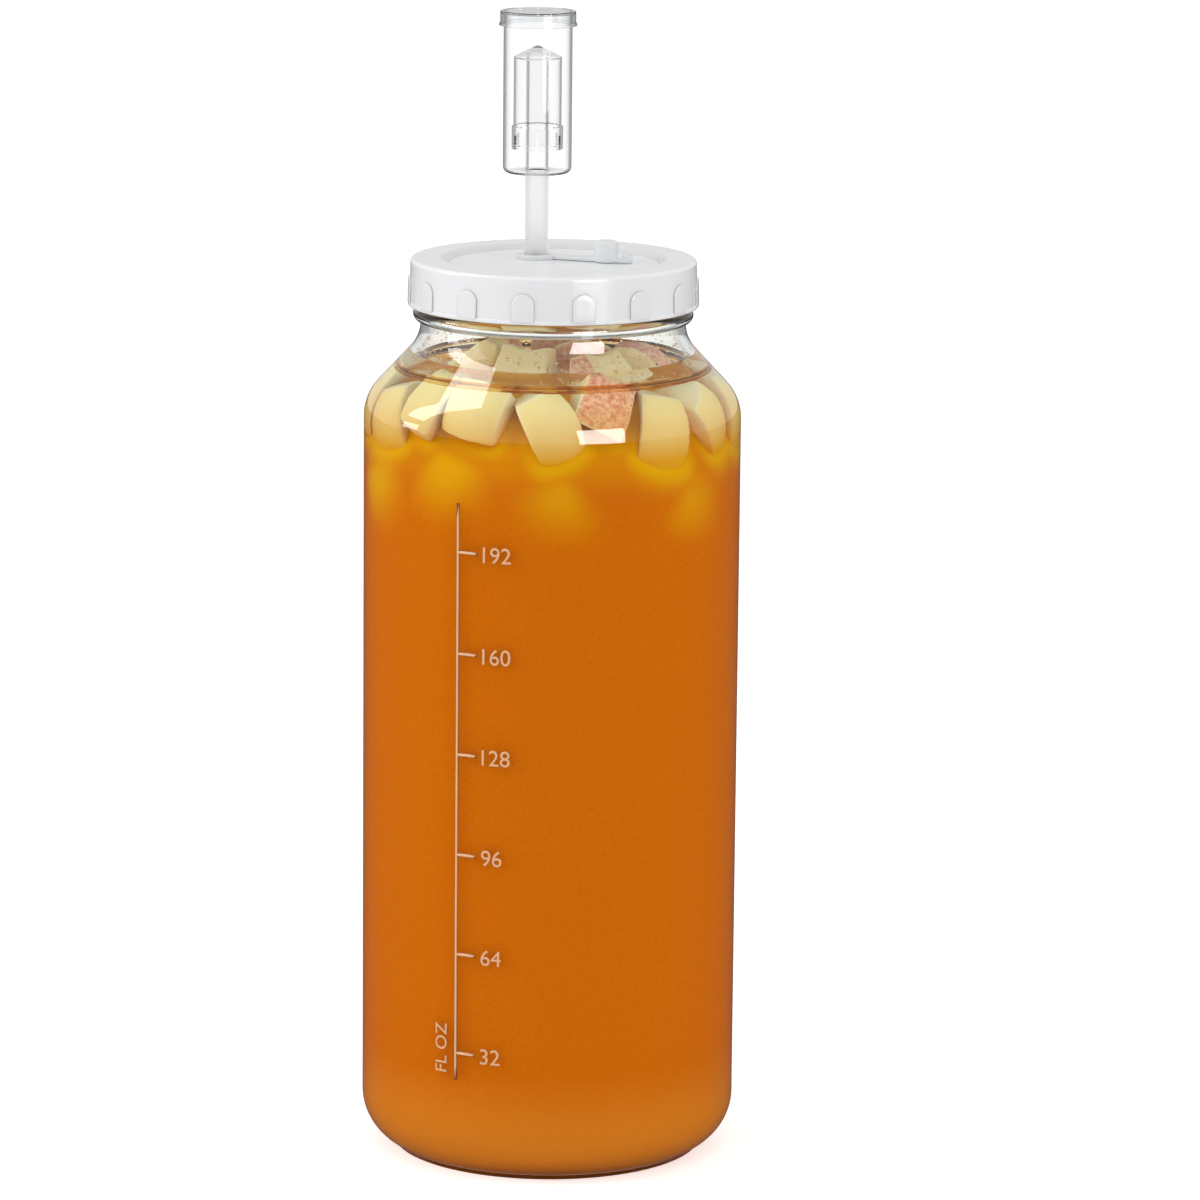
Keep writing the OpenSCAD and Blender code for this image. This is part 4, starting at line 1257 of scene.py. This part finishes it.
floor_paint = bpy.data.materials.new("pale_floor")
floor_paint.use_nodes = True
tree = floor_paint.node_tree
tree.nodes.clear()
matt = shader_node(tree, "ShaderNodeBsdfDiffuse", [("Color", (0.93, 0.93, 0.93, 1))])
lift = shader_node(tree, "ShaderNodeEmission", [("Color", (1, 1, 1, 1)), ("Strength", 0.42)])
white_floor = shader_node(tree, "ShaderNodeAddShader", [(0, matt.outputs[0]), (1, lift.outputs[0])])
seen, mirrored, within = sight_lines(tree)
dark = shader_node(tree, "ShaderNodeEmission", [
    ("Color", (1, 1, 1, 1)), ("Strength", glimmer(tree, 0.07, 0.48, within))])
lit = shader_node(tree, "ShaderNodeMixShader", [(0, mirrored), (1, matt.outputs[0]),
                                                (2, dark.outputs[0])])
mix = shader_node(tree, "ShaderNodeMixShader", [(0, seen), (1, lit.outputs[0]),
                                                (2, white_floor.outputs[0])])
out = shader_node(tree, "ShaderNodeOutputMaterial")
tree.links.new(mix.outputs[0], out.inputs["Surface"])
ground = bmesh.new()
bmesh.ops.create_grid(ground, x_segments=1, y_segments=1, size=FLOOR_SIZE / 2)
floor = new_piece("floor", ground, floor_paint)


def soft_box(name, turn, rise, distance, width, height, radiance):
    """A square lamp that faces the jar, at this turn from the front towards +X, in degrees.
    What is polished shows the cards instead of the lamps."""
    lamp = bpy.data.lights.new(name, "AREA")
    lamp.shape, lamp.size, lamp.size_y = "RECTANGLE", width, height
    lamp.energy = radiance * math.pi * width * height
    box = bpy.data.objects.new(name, lamp)
    bpy.context.scene.collection.objects.link(box)
    a, e = math.radians(turn), math.radians(rise)
    target = Vector((0, 0, 0.25))
    offset = Vector((math.sin(a) * math.cos(e), -math.cos(a) * math.cos(e), math.sin(e)))
    box.location = target + offset * distance
    box.rotation_euler = offset.to_track_quat("Z", "Y").to_euler()
    box.visible_glossy = False


def shiny_card(name, turn, rise, distance, width, height, radiance):
    """The bright front of a soft box, seen only in what is polished."""
    card_paint = bpy.data.materials.new(name)
    card_paint.use_nodes = True
    tree = card_paint.node_tree
    tree.nodes.clear()
    ray = shader_node(tree, "ShaderNodeLightPath")
    straight = shader_node(tree, "ShaderNodeMath", [(0, 1.0), (1, ray.outputs["Is Transmission Ray"])],
                           operation="SUBTRACT")
    mirrored = shader_node(tree, "ShaderNodeMath", [(0, ray.outputs["Is Glossy Ray"]),
                                                    (1, straight.outputs[0])], operation="MULTIPLY")
    clear = shader_node(tree, "ShaderNodeBsdfTransparent")
    glow = shader_node(tree, "ShaderNodeEmission", [("Color", (1, 1, 1, 1)), ("Strength", radiance)])
    mix = shader_node(tree, "ShaderNodeMixShader", [(0, mirrored.outputs[0]), (1, clear.outputs[0]),
                                                    (2, glow.outputs[0])])
    out = shader_node(tree, "ShaderNodeOutputMaterial")
    tree.links.new(mix.outputs[0], out.inputs["Surface"])
    a, e = math.radians(turn), math.radians(rise)
    offset = Vector((math.sin(a) * math.cos(e), -math.cos(a) * math.cos(e), math.sin(e)))
    card = bmesh.new()
    bmesh.ops.create_grid(card, x_segments=1, y_segments=1, size=0.5)
    bmesh.ops.transform(card, matrix=Matrix.Translation(Vector((0, 0, 0.25)) + offset * distance)
                        @ offset.to_track_quat("Z", "Y").to_matrix().to_4x4()
                        @ Matrix.Diagonal((width, height, 1, 1)), verts=card.verts)
    new_piece(name, card, card_paint)


shiny_card("left_card", -95, 43, 2.3, 0.65, 1.9, 8.0)
shiny_card("left_low_card", -95, 8, 2.3, 0.55, 0.32, 8.0)
shiny_card("right_card", 30, 14, 2.3, 1.15, 1.25, 16.0)
soft_box("left_box", -84, 22, 1.7, 0.9, 1.2, 2.2)
soft_box("right_box", 30, 14, 2.2, 0.42, 0.5, 5.0)
soft_box("right_fill", 84, 20, 2.2, 0.9, 1.0, 1.1)
soft_box("top_box", 0, 80, 2.0, 1.2, 1.2, 1.2)


# ---------------------------------------------------------------------------
# The camera: a long lens on a stand, a little over the lid and looking down at it.
CAMERA_AT = (0.0, -2.67735, 0.78345)
CAMERA_PITCH, CAMERA_YAW, CAMERA_ROLL = 0.1958, -0.0083, 0.0097
CAMERA_LENS, CAMERA_SENSOR = 180.6, 36.0

ahead = Vector((-math.sin(CAMERA_YAW) * math.cos(CAMERA_PITCH),
                math.cos(CAMERA_YAW) * math.cos(CAMERA_PITCH), -math.sin(CAMERA_PITCH)))
across = Vector((math.cos(CAMERA_YAW), math.sin(CAMERA_YAW), 0))
upward = across.cross(ahead)
right = math.cos(CAMERA_ROLL) * across + math.sin(CAMERA_ROLL) * upward
up = -math.sin(CAMERA_ROLL) * across + math.cos(CAMERA_ROLL) * upward
camera = bpy.data.objects.new("camera", bpy.data.cameras.new("camera"))
scene.collection.objects.link(camera)
camera.matrix_world = (Matrix.Translation(CAMERA_AT)
                       @ Matrix((right, up, -ahead)).transposed().to_4x4())
camera.data.lens = CAMERA_LENS
camera.data.sensor_width = CAMERA_SENSOR
scene.camera = camera
